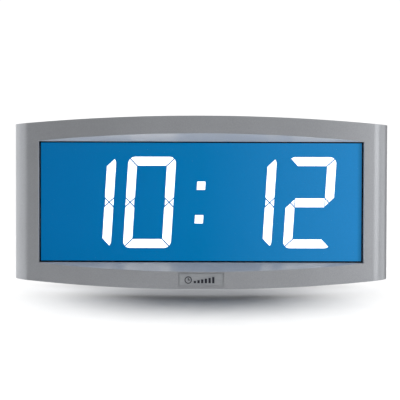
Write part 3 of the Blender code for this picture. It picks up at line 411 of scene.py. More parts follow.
def turned(bm, axis, outline, at, segments=40):
    """A solid turned on a lathe from (radius, place along the axis) points."""
    turn = {ALONG_Z: Matrix.Identity(4), ALONG_X: Matrix.Rotation(math.pi / 2, 4, "Y"),
            ALONG_DEPTH: Matrix.Rotation(math.pi / 2, 4, "X")}[axis]
    lathe = bmesh.new()
    rail = [lathe.verts.new((radius, 0.0, along)) for radius, along in outline]
    for first, second in zip(rail, rail[1:]):
        lathe.edges.new((first, second))
    bmesh.ops.spin(lathe, geom=lathe.verts[:] + lathe.edges[:], cent=(0, 0, 0), axis=(0, 0, 1),
                   angle=math.tau, steps=segments, use_merge=True, use_duplicate=False)
    bmesh.ops.remove_doubles(lathe, verts=lathe.verts, dist=1e-6)
    bmesh.ops.recalc_face_normals(lathe, faces=lathe.faces)
    bmesh.ops.transform(lathe, matrix=Matrix.Translation(at) @ turn, verts=lathe.verts)
    joined(bm, lathe)


def joined(bm, other):
    """Moves another mesh's shapes into this one."""
    carrier = bpy.data.meshes.new("carrier")
    other.to_mesh(carrier)
    other.free()
    bm.from_mesh(carrier)
    bpy.data.meshes.remove(carrier)


def rounded_outline(radius, low, high, softness, steps=4):
    """A plain cylinder's outline for the lathe, its two rims rounded."""
    quarter = [math.pi / 2 * step / steps for step in range(steps + 1)]
    core, foot, top = radius - softness, low + softness, high - softness
    lower = [(core + softness * math.sin(a), foot - softness * math.cos(a)) for a in quarter]
    upper = [(core + softness * math.cos(a), top + softness * math.sin(a)) for a in quarter]
    return [(0.0, low), *lower, *upper, (0.0, high)]


def shape_object(bm, name):
    mesh = bpy.data.meshes.new(name)
    bm.to_mesh(mesh)
    bm.free()
    made = bpy.data.objects.new(name, mesh)
    bpy.context.scene.collection.objects.link(made)
    return made


def carved(bm, steps):
    """The mesh after a list of (operation, tool mesh) Booleans, worked exactly and applied."""
    target = shape_object(bm, "carving")
    tools = []
    for operation, tool in steps:
        tools.append(shape_object(tool, "tool"))
        step = target.modifiers.new("step", "BOOLEAN")
        step.operation, step.solver, step.object = operation, "EXACT", tools[-1]
    bpy.context.view_layer.update()
    graph = bpy.context.evaluated_depsgraph_get()
    result = bmesh.new()
    result.from_mesh(target.evaluated_get(graph).to_mesh())
    for helper in [target, *tools]:
        mesh = helper.data
        bpy.data.objects.remove(helper)
        bpy.data.meshes.remove(mesh)
    return result


def from_node(node):
    """A merged copy of a CAD node's mesh with its flat areas made whole."""
    bm = bmesh.new()
    bm.from_mesh(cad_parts[node].data)
    bmesh.ops.remove_doubles(bm, verts=bm.verts, dist=2e-6)
    bmesh.ops.dissolve_limit(bm, angle_limit=math.radians(0.5), use_dissolve_boundaries=False,
                             verts=bm.verts, edges=bm.edges)
    return bm


def piece(name, bm, finish, body=CASE, replaces=()):
    """Makes a mesh drawn in place into a piece of the object that rides on a body."""
    bmesh.ops.remove_doubles(bm, verts=bm.verts, dist=1e-6)
    bmesh.ops.recalc_face_normals(bm, faces=bm.faces)
    made = shape_object(bm, name)
    made.data.materials.append(FINISHES[finish])
    made.data.shade_smooth()
    made.data.set_sharp_from_angle(angle=SHARP)
    made.modifiers.new("even_shading", "WEIGHTED_NORMAL").keep_sharp = True
    with bpy.context.temp_override(object=made, active_object=made, selected_objects=[made]):
        bpy.ops.object.modifier_apply(modifier="even_shading")
    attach(made, body)
    if replaces:
        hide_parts(*replaces)
    return made


# The front moulding ------------------------------------------------------------------------------

def arc_drop(x, half, rise):
    """How far a circular arc that rises by this much over its half width has dropped at x."""
    radius = (half * half + rise * rise) / (2 * rise)
    return radius - math.sqrt(radius * radius - x * x)


def edge_height(x, inset=0.0):
    """Half the case's height at x, less an inset."""
    (_, half), _, (_, top) = reach_of("front_bezel")
    return top - arc_drop(x, half, bpy.context.scene.clock_case.arch) - inset


def front_line(inset, bow_steps, corner_steps):
    """(x, depth) along the bowed front from left to right, corners rounded, less an inset."""
    sizes = bpy.context.scene.clock_case
    (_, half), (_, front), _ = reach_of("front_bezel")
    radius = (half**2 + sizes.bow**2) / (2 * sizes.bow)
    centre = front - radius
    corner_x = half - sizes.corner
    corner_depth = centre + math.sqrt((radius - sizes.corner) ** 2 - corner_x**2)
    turn = math.atan2(corner_x, corner_depth - centre)
    right = []
    for step in range(bow_steps // 2):
        angle = turn * step / (bow_steps // 2)
        right.append(((radius - inset) * math.sin(angle), centre + (radius - inset) * math.cos(angle)))
    for step in range(corner_steps + 1):
        angle = turn + (math.pi / 2 - turn) * step / corner_steps
        reach = sizes.corner - inset
        right.append((corner_x + reach * math.sin(angle), corner_depth + reach * math.cos(angle)))
    return [(-x, depth) for x, depth in right[:0:-1]] + right


def arched_block(line, back, inset):
    """A solid with arched upper and lower edges, between a front line in plan and a flat back."""
    bm = bmesh.new()
    bmesh.ops.create_grid(bm, x_segments=len(line) - 1, y_segments=1, size=1.0)
    columns = sorted(bm.verts, key=lambda vert: (round(vert.co.x, 6), vert.co.y))
    for index, vert in enumerate(columns):
        x, depth = line[index // 2]
        vert.co = (x, -(depth if index % 2 == 0 else back), -edge_height(x, inset))
    grown = bmesh.ops.extrude_face_region(bm, geom=bm.faces[:])["geom"]
    for vert in (item for item in grown if isinstance(item, bmesh.types.BMVert)):
        vert.co.z = edge_height(vert.co.x, inset)
    bmesh.ops.recalc_face_normals(bm, faces=bm.faces)
    return bm


BOSS_RADIUS, PILOT_RADIUS, PILOT_POINT = 3.2 * MM, 1.75 * MM, 0.6 * MM
FRAME_SCREW_HEAD, FRAME_LUG = 1.8 * MM, 3.0 * MM


def boss_places():
    """(x, z, depth of the free end, bore depth) of the screw bosses that stand inside the front moulding."""
    places = []
    for number in (1, 2, 3, 4):
        for kind in ("case", "frame"):
            node = f"{kind}_screw_{number}"
            x, _, z = centre_of(node)
            start, tip = reach_of(node)[1]
            # a case boss ends at the rear moulding, a frame boss at the lug under the screw's head
            foot = start + FRAME_SCREW_HEAD + FRAME_LUG + 2 * GAP
            if kind == "case":
                foot = reach_of("rear_shell")[1][1] + GAP
            places.append((x, z, foot, tip + 2 * GAP))
    return places


def front_moulding():
    sizes = bpy.context.scene.clock_case
    _, (back, front), _ = reach_of("front_bezel")
    (_, pane_x), (pane_back, pane_front), (_, pane_z) = reach_of("window_pane")
    window_x, window_z = pane_x - sizes.pane_lap, pane_z - sizes.pane_lap
    ledge_back = pane_front + GAP
    window_depth = ledge_back + sizes.ledge
    frame_front = pane_back - GAP
    outer = front + BORE_CLEARANCE

    bm = arched_block(front_line(0.0, BOW_STEPS, CORNER_STEPS), back, 0.0)
    rim = sharp_edges(bm, math.radians(50), lambda e: (
        not all(abs(v.co.y + back) < GAP / 3 for v in e.verts) and e.verts[0].co.z * e.verts[1].co.z > 0))
    bevel(bm, rim, sizes.rim, 6)

    hollow = arched_block(front_line(SKIN, BOW_STEPS, CORNER_STEPS), back - 10 * MM, SKIN)
    kept = bmesh.new()
    wall = sizes.funnel_wall
    funnel = block(kept, centred(pane_x + wall), (frame_front + GAP, outer), centred(pane_z + wall))
    flare = (outer - window_depth) * sizes.reveal_slope + SKIN - sizes.pane_lap - wall
    for vert in funnel:
        if vert.co.y < -frame_front - 2 * GAP:
            vert.co.z += math.copysign(max(flare, 0.0), vert.co.z)
    pilots = bmesh.new()
    for x, z, foot, tip in boss_places():
        turned(kept, ALONG_DEPTH, [(0, foot), (BOSS_RADIUS, foot), (BOSS_RADIUS, outer), (0, outer)],
               (x, 0, z), 32)
        turned(pilots, ALONG_DEPTH, [(0, foot - MM), (PILOT_RADIUS, foot - MM), (PILOT_RADIUS, tip),
                                     (0, tip + PILOT_POINT)], (x, 0, z), 24)
    hollow = carved(hollow, [("DIFFERENCE", kept)])

    opening = bmesh.new()
    block(opening, centred(window_x), (ledge_back - 3 * MM, window_depth), centred(window_z))
    face = [f for f in opening.faces if all(v.co.y < -window_depth + GAP / 3 for v in f.verts)]
    grown = bmesh.ops.extrude_face_region(opening, geom=face)["geom"]
    bmesh.ops.delete(opening, geom=face, context="FACES_ONLY")
    reach = outer - window_depth
    for vert in (item for item in grown if isinstance(item, bmesh.types.BMVert)):
        vert.co.y -= reach
        vert.co.x += math.copysign(reach * sizes.side_reveal_slope, vert.co.x)
        vert.co.z += math.copysign(reach * sizes.reveal_slope, vert.co.z)
    mouth = [e for e in opening.edges if all(abs(v.co.y + window_depth) < GAP / 3 for v in e.verts)]
    bevel(opening, mouth, sizes.edge_radius, 4)
    pocket = bmesh.new()
    block(pocket, centred(pane_x + GAP), (frame_front - MM, ledge_back), centred(pane_z + GAP))
    badge_x, (badge_back, _), badge_z = reach_of("badge_plate")
    recess = bmesh.new()
    floor = badge_back - GAP
    block(recess, (badge_x[0] - GAP, badge_x[1] + GAP), (floor, floor + 4 * MM),
          (badge_z[0] - GAP, badge_z[1] + GAP))
    bm = carved(bm, [("DIFFERENCE", hollow), ("DIFFERENCE", opening), ("DIFFERENCE", pocket),
                     ("DIFFERENCE", pilots), ("DIFFERENCE", recess)])
    bmesh.ops.dissolve_limit(bm, angle_limit=math.radians(0.02), use_dissolve_boundaries=False,
                             verts=bm.verts, edges=bm.edges)
    proud, beside = window_depth + 2 * sizes.edge_radius, window_z + 9 * MM
    lip = sharp_edges(bm, math.radians(20), lambda e: all(
        -v.co.y > proud and abs(v.co.x) < window_x and abs(v.co.z) < beside for v in e.verts)
        and max(f.normal.y for f in e.link_faces) < -0.05)
    bevel(bm, lip, 0.12 * MM, 2)
    piece("front_moulding", bm, "silver_plastic", replaces=["front_bezel"])


FIELD_DROP = 0.2 * MM  # from the badge's border down to its field
MARK_SINK, MARK_DROP = 0.01 * MM, 0.05 * MM  # the enamel's foot above the field, its top below the border
DIAL_X, DIAL_OUTER, DIAL_INNER = -9.6 * MM, 2.7 * MM, 2.1 * MM
HAND, MINUTE_HAND, HOUR_HAND = 0.3 * MM, 1.6 * MM, 1.4 * MM  # half width and lengths of the dial's hands
BARS, BAR_HALF, BAR_X, BAR_STEP = 6, 0.85 * MM, -4.6 * MM, 2.75 * MM
BAR_FOOT, BAR_HEIGHT, BAR_RISE = 2.3 * MM, 1.6 * MM, 0.6 * MM


def badge():
    """A metal badge with a raised border, its enamel mark a small dial beside a stair of bars."""
    x, (back, front), z = reach_of("badge_plate")
    border = bpy.context.scene.clock_case.badge_border
    bm = bmesh.new()
    bevel(bm, edges_along_depth(block(bm, x, (back, front), z)), 0.5 * MM, 3)
    field = bmesh.new()
    hollow = block(field, (x[0] + border, x[1] - border), (front - FIELD_DROP, front + MM),
                   (z[0] + border, z[1] - border))
    bevel(field, edges_along_depth(hollow), 0.3 * MM, 3)
    bm = carved(bm, [("DIFFERENCE", field)])
    bevel(bm, sharp_edges(bm, math.radians(60), lambda e: all(-v.co.y > front - 0.01 * MM for v in e.verts)),
          0.07 * MM, 2)
    piece("badge", bm, "badge_metal", replaces=["badge_plate"])

    base, top = front - FIELD_DROP + MARK_SINK, front - MARK_DROP
    middle = (z[0] + z[1]) / 2
    mark = bmesh.new()
    turned(mark, ALONG_DEPTH, [(DIAL_INNER, base), (DIAL_OUTER, base), (DIAL_OUTER, top), (DIAL_INNER, top),
                               (DIAL_INNER, base)], (DIAL_X, 0, middle), 48)
    block(mark, centred(HAND, DIAL_X), (base, top), (middle - HAND, middle + MINUTE_HAND))
    block(mark, (DIAL_X + 1.2 * HAND, DIAL_X + HOUR_HAND), (base, top), centred(HAND, middle))
    for step in range(BARS):
        foot = middle - BAR_FOOT
        block(mark, centred(BAR_HALF, BAR_X + BAR_STEP * step), (base, top),
              (foot, foot + BAR_HEIGHT + BAR_RISE * step))
    piece("badge_mark", mark, "badge_ink")


# The display -------------------------------------------------------------------------------------

# which segments show for each figure: a top, b and c right, d bottom, e and f left, g middle
FIGURES = ("abcdef", "bc", "abged", "abgcd", "fgbc", "afgcd", "afgedc", "abc", "abcdefg", "abcdfg")


def half_plane(bm, point, normal):
    """Cuts flat faces along a line and drops what lies on the normal's side."""
    bmesh.ops.bisect_plane(bm, geom=bm.verts[:] + bm.edges[:] + bm.faces[:], dist=1e-7, plane_co=point,
                           plane_no=normal, clear_outer=True, clear_inner=False)


def rounded_plate(width, height, radius):
    """A flat face with rounded corners, standing in the X-Z plane at the origin."""
    bm = bmesh.new()
    bmesh.ops.create_grid(bm, x_segments=1, y_segments=1, size=0.5)
    bmesh.ops.rotate(bm, matrix=Matrix.Rotation(math.pi / 2, 3, "X"), verts=bm.verts)
    bmesh.ops.scale(bm, vec=(width, 1.0, height), verts=bm.verts)
    bmesh.ops.bevel(bm, geom=bm.verts[:], offset=radius, offset_type="OFFSET", segments=7, profile=0.5,
                    affect="VERTICES", material=-1)
    return bm


def segment_cuts(name, half_x, half_z, stroke, gap):
    """The lines that part one segment from its neighbours, each as (point, outward normal)."""
    slack = gap / 2 * math.sqrt(2)
    joint = half_x - stroke / 2

    def corner(side_x, side_z, keep_end):
        """The mitre at a corner: keep_end is 1 for the level bar and -1 for the upright."""
        point = Vector((side_x * half_x, 0, side_z * half_z))
        normal = Vector((side_x, 0, -side_z)) * keep_end
        return point - normal.normalized() * gap / 2, normal

    if name in "ad":
        up = 1 if name == "a" else -1
        return [corner(-1, up, 1), corner(1, up, 1), ((0, 0, up * (half_z - stroke)), (0, 0, -up))]
    if name == "g":
        reach = half_x - stroke - gap * 0.35
        return [((reach, 0, 0), (1, 0, 0)), ((-reach, 0, 0), (-1, 0, 0)), ((0, 0, stroke / 2), (0, 0, 1)),
                ((0, 0, -stroke / 2), (0, 0, -1))]
    side = 1 if name[0] in "bcr" else -1
    if name in "bcef":
        up = 1 if name in "bf" else -1
        tip = (side * joint, 0, up * slack)
        return [corner(side, up, -1), ((side * (half_x - stroke), 0, 0), (-side, 0, 0)),
                (tip, (1, 0, -up)), (tip, (-1, 0, -up))]
    # the two small triangles of a side's middle joint, outer and inner
    away = side if name[1] == "o" else -side
    tip = (side * joint + away * slack, 0, 0)
    limit = side * joint + away * (stroke / 2 - (0 if name[1] == "o" else gap * 0.35))
    return [(tip, (-away, 0, 1)), (tip, (-away, 0, -1)), ((limit, 0, 0), (away, 0, 0))]


def figure_parts(figure):
    """A figure's segments, with the joint triangles that light beside them."""
    shown = FIGURES[figure]
    parts = list(shown)
    for side, upper, lower in (("r", "b", "c"), ("l", "f", "e")):
        both = upper in shown and lower in shown
        if both:
            parts.append(side + "o")
        if both or ("g" in shown and (upper in shown or lower in shown)):
            parts.append(side + "i")
    return parts


def raise_plates(bm, front, back):
    """Gives flat faces their thickness between two depths and slants them."""
    slant = bpy.context.scene.clock_display.slant
    bmesh.ops.recalc_face_normals(bm, faces=bm.faces)
    for vert in bm.verts:
        vert.co.y = -back
        vert.co.x += vert.co.z * slant
    for face in bm.faces:
        if face.normal.y > 0:
            face.normal_flip()
    grown = bmesh.ops.extrude_face_region(bm, geom=bm.faces[:], use_keep_orig=True)["geom"]
    bmesh.ops.translate(bm, vec=(0, -(front - back), 0),
                        verts=[item for item in grown if isinstance(item, bmesh.types.BMVert)])
    bmesh.ops.recalc_face_normals(bm, faces=bm.faces)


def lit_figures():
    shown = bpy.context.scene.clock_display
    film_front = reach_of("front_polariser")[1][1]
    mask_back = reach_of("display_mask")[1][0]
    back, front = film_front + 0.08 * MM, mask_back - 0.08 * MM
    places = (shown.place_1, shown.place_2, shown.place_3, shown.place_4)
    figures = (shown.hour // 10, shown.hour % 10, shown.minute // 10, shown.minute % 10)
    half_x, half_z = shown.figure_width / 2, shown.figure_height / 2
    for number, (place, figure) in enumerate(zip(places, figures), 1):
        bm = bmesh.new()
        for part in figure_parts(figure):
            plate = rounded_plate(2 * half_x, 2 * half_z, shown.corner)
            for point, normal in segment_cuts(part, half_x, half_z, shown.stroke, shown.parting):
                half_plane(plate, point, normal)
            joined(bm, plate)
        raise_plates(bm, front, back)
        bmesh.ops.translate(bm, vec=(place, 0, shown.figure_z), verts=bm.verts)
        piece(f"lit_figure_{number}", bm, "lit")
    dots = bmesh.new()
    for side in (-1, 1):
        dot = rounded_plate(shown.dot, shown.dot, 0.25 * MM)
        bmesh.ops.translate(dot, vec=(0, 0, side * shown.dot_z), verts=dot.verts)
        joined(dots, dot)
    raise_plates(dots, front, back)
    bmesh.ops.translate(dots, vec=(shown.colon_x, 0, shown.figure_z), verts=dots.verts)
    piece("lit_colon", dots, "lit")


# Back, fixings and inner pieces ------------------------------------------------------------------

def softened(node, name, finish, width, body=CASE):
    """A copy of a CAD node with its hard edges eased, as a mould or a press leaves them."""
    bm = from_node(node)
    bevel(bm, sharp_edges(bm, math.radians(40)), width, 2)
    piece(name, bm, finish, body, replaces=[node])


# a screw's shape, in shares of its head's height and radius, of its shank's radius and of its pitch
CROWN, DOME_DEGREES = 0.55, (25, 45, 60, 75, 90)
NECK, CORE, TIP, POINT_LENGTH = 0.82, 0.8, 0.25, 1.2
CREST = ((CORE, 0.15), (1.0, 0.5), (CORE, 0.85))
CROSS_REACH, CROSS_WIDTH, CROSS_DEPTH, CROSS_TAPER = 0.62, 0.11, 0.62, (0.3, 0.6)


def screw(node, axis, shank, head_height, pitch):
    """A pan-head screw with a cross recess, its thread cut as rings of the right pitch."""
    x, depth, z = reach_of(node)
    centre = centre_of(node)
    head = (x[1] - x[0]) / 2
    (low, high), at = {ALONG_DEPTH: (depth, (centre.x, 0, centre.z)),
                       ALONG_Z: (z, (centre.x, centre.y, 0))}[axis]
    crown, seat, point = CROWN * head_height, low + head_height, high - POINT_LENGTH * shank
    dome = [(head * math.sin(a), low + crown - crown * math.cos(a)) for a in map(math.radians, DOME_DEGREES)]
    outline = [(0.0, low), *dome, (head, seat - EDGE), (head - EDGE, seat), (shank * NECK, seat)]
    for turns_left in range(int((point - seat) / pitch), 0, -1):
        start = point - turns_left * pitch
        outline += [(shank * wide, start + share * pitch) for wide, share in CREST]
    outline += [(shank * CORE, point), (shank * TIP, high), (0.0, high)]
    bm = bmesh.new()
    turned(bm, axis, outline, at, 28)
    place = {ALONG_DEPTH: Matrix.Translation((at[0], -low, at[2])) @ Matrix.Rotation(math.pi / 2, 4, "X"),
             ALONG_Z: Matrix.Translation((at[0], at[1], low))}[axis]
    arms = []
    for turned_by in (0, math.pi / 2):
        arm = bmesh.new()
        for vert in block(arm, centred(head * CROSS_REACH), centred(head * CROSS_WIDTH),
                          (-EDGE, head_height * CROSS_DEPTH)):
            if vert.co.z > 0:
                vert.co.x *= CROSS_TAPER[0]
                vert.co.y *= CROSS_TAPER[1]
        bmesh.ops.transform(arm, matrix=place @ Matrix.Rotation(turned_by, 4, "Z"), verts=arm.verts)
        bmesh.ops.recalc_face_normals(arm, faces=arm.faces)
        arms.append(("DIFFERENCE", arm))
    piece(f"{node}.cut", carved(bm, arms), "plated_steel", replaces=[node])


def round_piece(node, axis, finish, softness, body=CASE):
    """A plain turned piece with eased rims in place of a CAD cylinder."""
    x, depth, z = reach_of(node)
    centre = centre_of(node)
    along, radius, at = {
        ALONG_X: (x, (z[1] - z[0]) / 2, (0, centre.y, centre.z)),
        ALONG_DEPTH: (depth, (x[1] - x[0]) / 2, (centre.x, 0, centre.z)),
        ALONG_Z: (z, (x[1] - x[0]) / 2, (centre.x, centre.y, 0)),
    }[axis]
    bm = bmesh.new()
    turned(bm, axis, rounded_outline(radius, *along, softness), at)
    piece(f"{node}.turned", bm, finish, body, [node])


def grommet():
    """A soft rubber grommet: two rolled lips either side of the cover, and a flared bore for the cable."""
    x, (back, front), _ = reach_of("cable_grommet")
    cover_back, cover_front = reach_of("wiring_cover")[1]
    centre = centre_of("cable_grommet")
    lip, neck, bore = (x[1] - x[0]) / 2, 5.5 * MM, 3.5 * MM
    roll, bulge = 0.45 * MM, 0.13 * MM

    def half(face, cover, way):
        """The outline from the bore, over one lip, to the neck; way is 1 for the lip nearest the wall."""
        return [(bore, face + way * 0.9 * MM), (bore + 0.25 * MM, face + way * 0.3 * MM),
                (bore + 0.8 * MM, face), (lip - roll, face), (lip - bulge, face + way * bulge),
                (lip, face + way * roll), (lip, cover - way * EDGE), (lip - EDGE, cover), (neck, cover)]

    outline = half(back, cover_back - GAP, 1) + half(front, cover_front + GAP, -1)[::-1]
    bm = bmesh.new()
    turned(bm, ALONG_DEPTH, [*outline, outline[0]], (centre.x, 0, centre.z), 48)
    piece("cable_grommet.moulded", bm, "rubber", replaces=["cable_grommet"])


# (radius, height) in millimetres of the dished foot that a finger presses
CAP_DISH = ((0.0, 0.25), (1.0, 0.2), (1.9, 0.05), (2.3, 0.0), (2.75, 0.08), (3.0, 0.4))
CAP_STEM, CAP_PROUD, CAP_COLLAR, CAP_END = 3.0 * MM, 2.0 * MM, 0.9 * MM, 0.2 * MM


def button_cap(number):
    """A round push key: dished foot below the case, a stem, and the collar that stops it falling out."""
    node = f"button_cap_{number}"
    x, _, (low, high) = reach_of(node)
    centre = centre_of(node)
    collar = (x[1] - x[0]) / 2
    seat = low + CAP_PROUD + SKIN + GAP
    top = seat + CAP_COLLAR
    outline = [(radius * MM, low + height * MM) for radius, height in CAP_DISH]
    outline += [(CAP_STEM, seat), (collar - EDGE, seat), (collar, seat + EDGE), (collar, top - EDGE),
                (collar - EDGE, top), (CAP_STEM, top), (CAP_STEM, high - CAP_END), (CAP_STEM - CAP_END, high),
                (0.0, high)]
    bm = bmesh.new()
    turned(bm, ALONG_Z, outline, (centre.x, centre.y, 0), 48)
    piece(f"{node}.moulded", bm, "key_plastic", f"setting_button_{number}", replaces=[node])


CHIP_INSET, CHIP_STANDOFF = 1.1 * MM, 0.15 * MM  # from the legs' tips to the package, and off the board
DIMPLE_RADIUS, DIMPLE_PLACE = 0.5 * MM, 2.3 * MM  # the mark of the first leg, and its distance from the sides
LEG_HALF = 0.16 * MM


def chip(node, legs):
    """An epoxy package with tinned gull-wing legs along its four sides, drawn inside its own outline."""
    x, (back, front), z = reach_of(node)
    bm = bmesh.new()
    body = block(bm, (x[0] + CHIP_INSET, x[1] - CHIP_INSET), (back, front - CHIP_STANDOFF),
                 (z[0] + CHIP_INSET, z[1] - CHIP_INSET))
    bevel(bm, edges_along_depth(body), 0.3 * MM, 2)
    bevel(bm, sharp_edges(bm, math.radians(60), lambda e: all(abs(-v.co.y - back) < 1e-5 for v in e.verts)),
          0.15 * MM, 1)
    centre = centre_of(node)
    dimple = bmesh.new()
    turned(dimple, ALONG_DEPTH, [(0, back - MM), (DIMPLE_RADIUS, back - MM),
                                 (DIMPLE_RADIUS, back + 0.08 * MM), (0, back + 0.1 * MM)],
           (x[1] - DIMPLE_PLACE, 0, z[1] - DIMPLE_PLACE), 20)
    piece(f"{node}.package", carved(bm, [("DIFFERENCE", dimple)]), "chip_black", replaces=[node])
    pins = bmesh.new()
    half = (x[1] - x[0]) / 2
    pitch = (2 * half - 2 * CHIP_INSET - 1.2 * MM) / (legs - 1)
    for side in range(4):
        made = []
        for index in range(legs):
            across = centred(LEG_HALF, (index - (legs - 1) / 2) * pitch)
            made += block(pins, across, (0.0, 0.14 * MM), (half - 0.55 * MM, half))
            made += block(pins, across, (0.145 * MM, 0.6 * MM), (half - 0.72 * MM, half - 0.56 * MM))
        bmesh.ops.rotate(pins, matrix=Matrix.Rotation(side * math.pi / 2, 3, "Y"), verts=made)
    bmesh.ops.scale(pins, vec=(1, -1, 1), verts=pins.verts)
    bmesh.ops.translate(pins, vec=(centre.x, -front, centre.z), verts=pins.verts)
    piece(f"{node}.legs", pins, "plated_steel")


CARRIED_OVER = {
    "window_pane": "clear_acrylic", "display_mask": "black_print", "front_polariser": "blue_film",
    "lcd_front_glass": "display_glass", "lcd_rear_glass": "display_glass", "rear_polariser": "blue_film",
    "diffuser_sheet": "white_film", "reflector_sheet": "white_film", "light_guide": "guide",
    "contact_strip_upper": "rubber", "contact_strip_lower": "rubber",
}


# Operators ---------------------------------------------------------------------------------------

class CLOCK_OT_finishes(bpy.types.Operator):
    """Makes every finish and gives the CAD sheets of the display theirs"""
    bl_idname = "clock.finishes"
    bl_label = "Finishes"

    def execute(self, context):
        FINISHES.update(make_finishes())
        for node, finish in CARRIED_OVER.items():
            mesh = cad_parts[node].data
            mesh.materials.clear()
            mesh.materials.append(FINISHES[finish])
        return {"FINISHED"}


class CLOCK_OT_front(bpy.types.Operator):
    """Builds the bow-fronted moulding with its window funnel, rim and screw bosses"""
    bl_idname = "clock.front"
    bl_label = "Front moulding"

    def execute(self, context):
        front_moulding()
        return {"FINISHED"}


class CLOCK_OT_badge(bpy.types.Operator):
    """Builds the framed badge and its generic inked mark"""
    bl_idname = "clock.badge"
    bl_label = "Badge"

    def execute(self, context):
        badge()
        return {"FINISHED"}


class CLOCK_OT_figures(bpy.types.Operator):
    """Lights the four figures and the colon for the time that is set"""
    bl_idname = "clock.figures"
    bl_label = "Lit figures"

    def execute(self, context):
        lit_figures()
        return {"FINISHED"}


class CLOCK_OT_back(bpy.types.Operator):
    """Builds the rear moulding, the wiring cover, its grommet and the wall bumpers"""
    bl_idname = "clock.back"
    bl_label = "Rear mouldings"

    def execute(self, context):
        softened("rear_shell", "rear_moulding", "grey_plastic", 0.35 * MM)
        softened("wiring_cover", "wiring_cover.moulded", "grey_plastic", 0.25 * MM)
        grommet()
        for side in ("left", "right"):
            round_piece(f"wall_bumper_{side}", ALONG_DEPTH, "rubber", 0.5 * MM)
        return {"FINISHED"}


class CLOCK_OT_wall_plate(bpy.types.Operator):
    """Builds the pressed steel wall plate with its hooks and forked tab"""
    bl_idname = "clock.wall_plate"
    bl_label = "Wall plate"

    def execute(self, context):
        softened("wall_plate", "wall_plate.pressed", "plate_steel", 0.2 * MM, PLATE)
        return {"FINISHED"}


class CLOCK_OT_fixings(bpy.types.Operator):
    """Builds the screws and the hinge rods"""
    bl_idname = "clock.fixings"
    bl_label = "Screws and rods"

    def execute(self, context):
        for number in (1, 2, 3, 4):
            screw(f"case_screw_{number}", ALONG_DEPTH, 1.45 * MM, 2.0 * MM, 0.9 * MM)
            screw(f"frame_screw_{number}", ALONG_DEPTH, 1.45 * MM, 1.8 * MM, 0.9 * MM)
            screw(f"board_screw_{number}", ALONG_DEPTH, 1.1 * MM, 1.4 * MM, 0.7 * MM)
        for side in ("left", "right"):
            screw(f"cover_screw_{side}", ALONG_DEPTH, 1.1 * MM, 0.9 * MM, 0.6 * MM)
            round_piece(f"hinge_rod_{side}", ALONG_X, "plated_steel", 0.3 * MM)
        screw("locking_screw", ALONG_Z, 2.0 * MM, 3.0 * MM, 0.7 * MM)
        return {"FINISHED"}


class CLOCK_OT_buttons(bpy.types.Operator):
    """Builds the two setting buttons with their switches and board"""
    bl_idname = "clock.buttons"
    bl_label = "Setting buttons"

    def execute(self, context):
        for number in (1, 2):
            button_cap(number)
            round_piece(f"switch_plunger_{number}", ALONG_Z, "key_plastic", 0.25 * MM,
                        f"setting_button_{number}")
            softened(f"key_switch_{number}", f"key_switch_{number}.moulded", "chip_black", 0.2 * MM)
        softened("key_board", "key_board.cut", "board_laminate", 0.1 * MM)
        softened("key_header", "key_header.moulded", "chip_black", 0.15 * MM)
        return {"FINISHED"}


class CLOCK_OT_electronics(bpy.types.Operator):
    """Builds the display carrier, the lamp strips, the circuit board and its components"""
    bl_idname = "clock.electronics"
    bl_label = "Electronics"

    def execute(self, context):
        softened("display_frame", "display_frame.moulded", "white_plastic", 0.25 * MM)
        softened("main_board", "main_board.cut", "board_laminate", 0.1 * MM)
        for side in ("left", "right"):
            softened(f"led_strip_{side}", f"led_strip_{side}.built", "white_plastic", 0.1 * MM)
            chip(f"display_driver_{side}", 10)
        chip("microcontroller", 12)
        softened("quartz_crystal", "quartz_crystal.drawn", "plated_steel", 0.3 * MM)
        softened("cell_holder", "cell_holder.moulded", "chip_black", 0.25 * MM)
        softened("supply_fuse", "supply_fuse.moulded", "chip_black", 0.3 * MM)
        softened("supply_module", "supply_module.sleeved", "module_yellow", 0.4 * MM)
        for name in ("supply", "signal"):
            softened(f"{name}_terminal", f"{name}_terminal.moulded", "terminal_green", 0.2 * MM)
        round_piece("backup_cell", ALONG_DEPTH, "plated_steel", 0.35 * MM)
        round_piece("smoothing_capacitor", ALONG_DEPTH, "sleeve_blue", 0.7 * MM)
        round_piece("backlight_inductor", ALONG_DEPTH, "chip_black", 0.4 * MM)
        return {"FINISHED"}


# name, width, height, azimuth, elevation, distance, watts. Azimuth 0 is straight in front, 90 to the right.
LIGHTS = (
    ("top_box", 1.6, 0.6, 0, 73, 1.2, 11.0),
    ("rim_box", 1.6, 0.4, 0, 98, 1.2, 16.0),
    ("under_box", 1.4, 0.4, -8, -72, 0.55, 9.0),
    ("front_box", 0.8, 0.8, 0, 12, 2.0, 1.3),
    ("right_inner_strip", 0.3, 1.2, 27, 0, 1.4, 0.5),
    ("right_panel", 0.6, 0.9, 53, 12, 1.1, 4.8),
    ("right_side_panel", 0.8, 0.9, 98, 4, 1.1, 2.5),
    ("left_panel", 1.2, 1.2, -78, 4, 1.2, 5.4),
    ("left_rim_panel", 0.9, 0.9, -124, 10, 1.0, 3.2),
    ("back_box", 1.8, 1.8, 180, 8, 1.6, 15.0),
)


def area_light(name, width, height, azimuth, elevation, distance, watts):
    """A soft rectangular light that faces the middle of the clock."""
    data = bpy.data.lights.new(name, "AREA")
    data.shape, data.size, data.size_y, data.energy = "RECTANGLE", width, height, watts
    made = bpy.data.objects.new(name, data)
    made.visible_camera = False
    bpy.context.scene.collection.objects.link(made)
    back = outward(math.radians(azimuth), math.radians(elevation))
    made.location = Vector((0.0, -45 * MM, 0.0)) + back * distance
    made.rotation_euler = back.to_track_quat("Z", "Y").to_euler()
    return made


def outward(across, up):
    """The direction from the clock towards an azimuth and an elevation."""
    return Vector((math.sin(across) * math.cos(up), -math.cos(across) * math.cos(up), math.sin(up)))


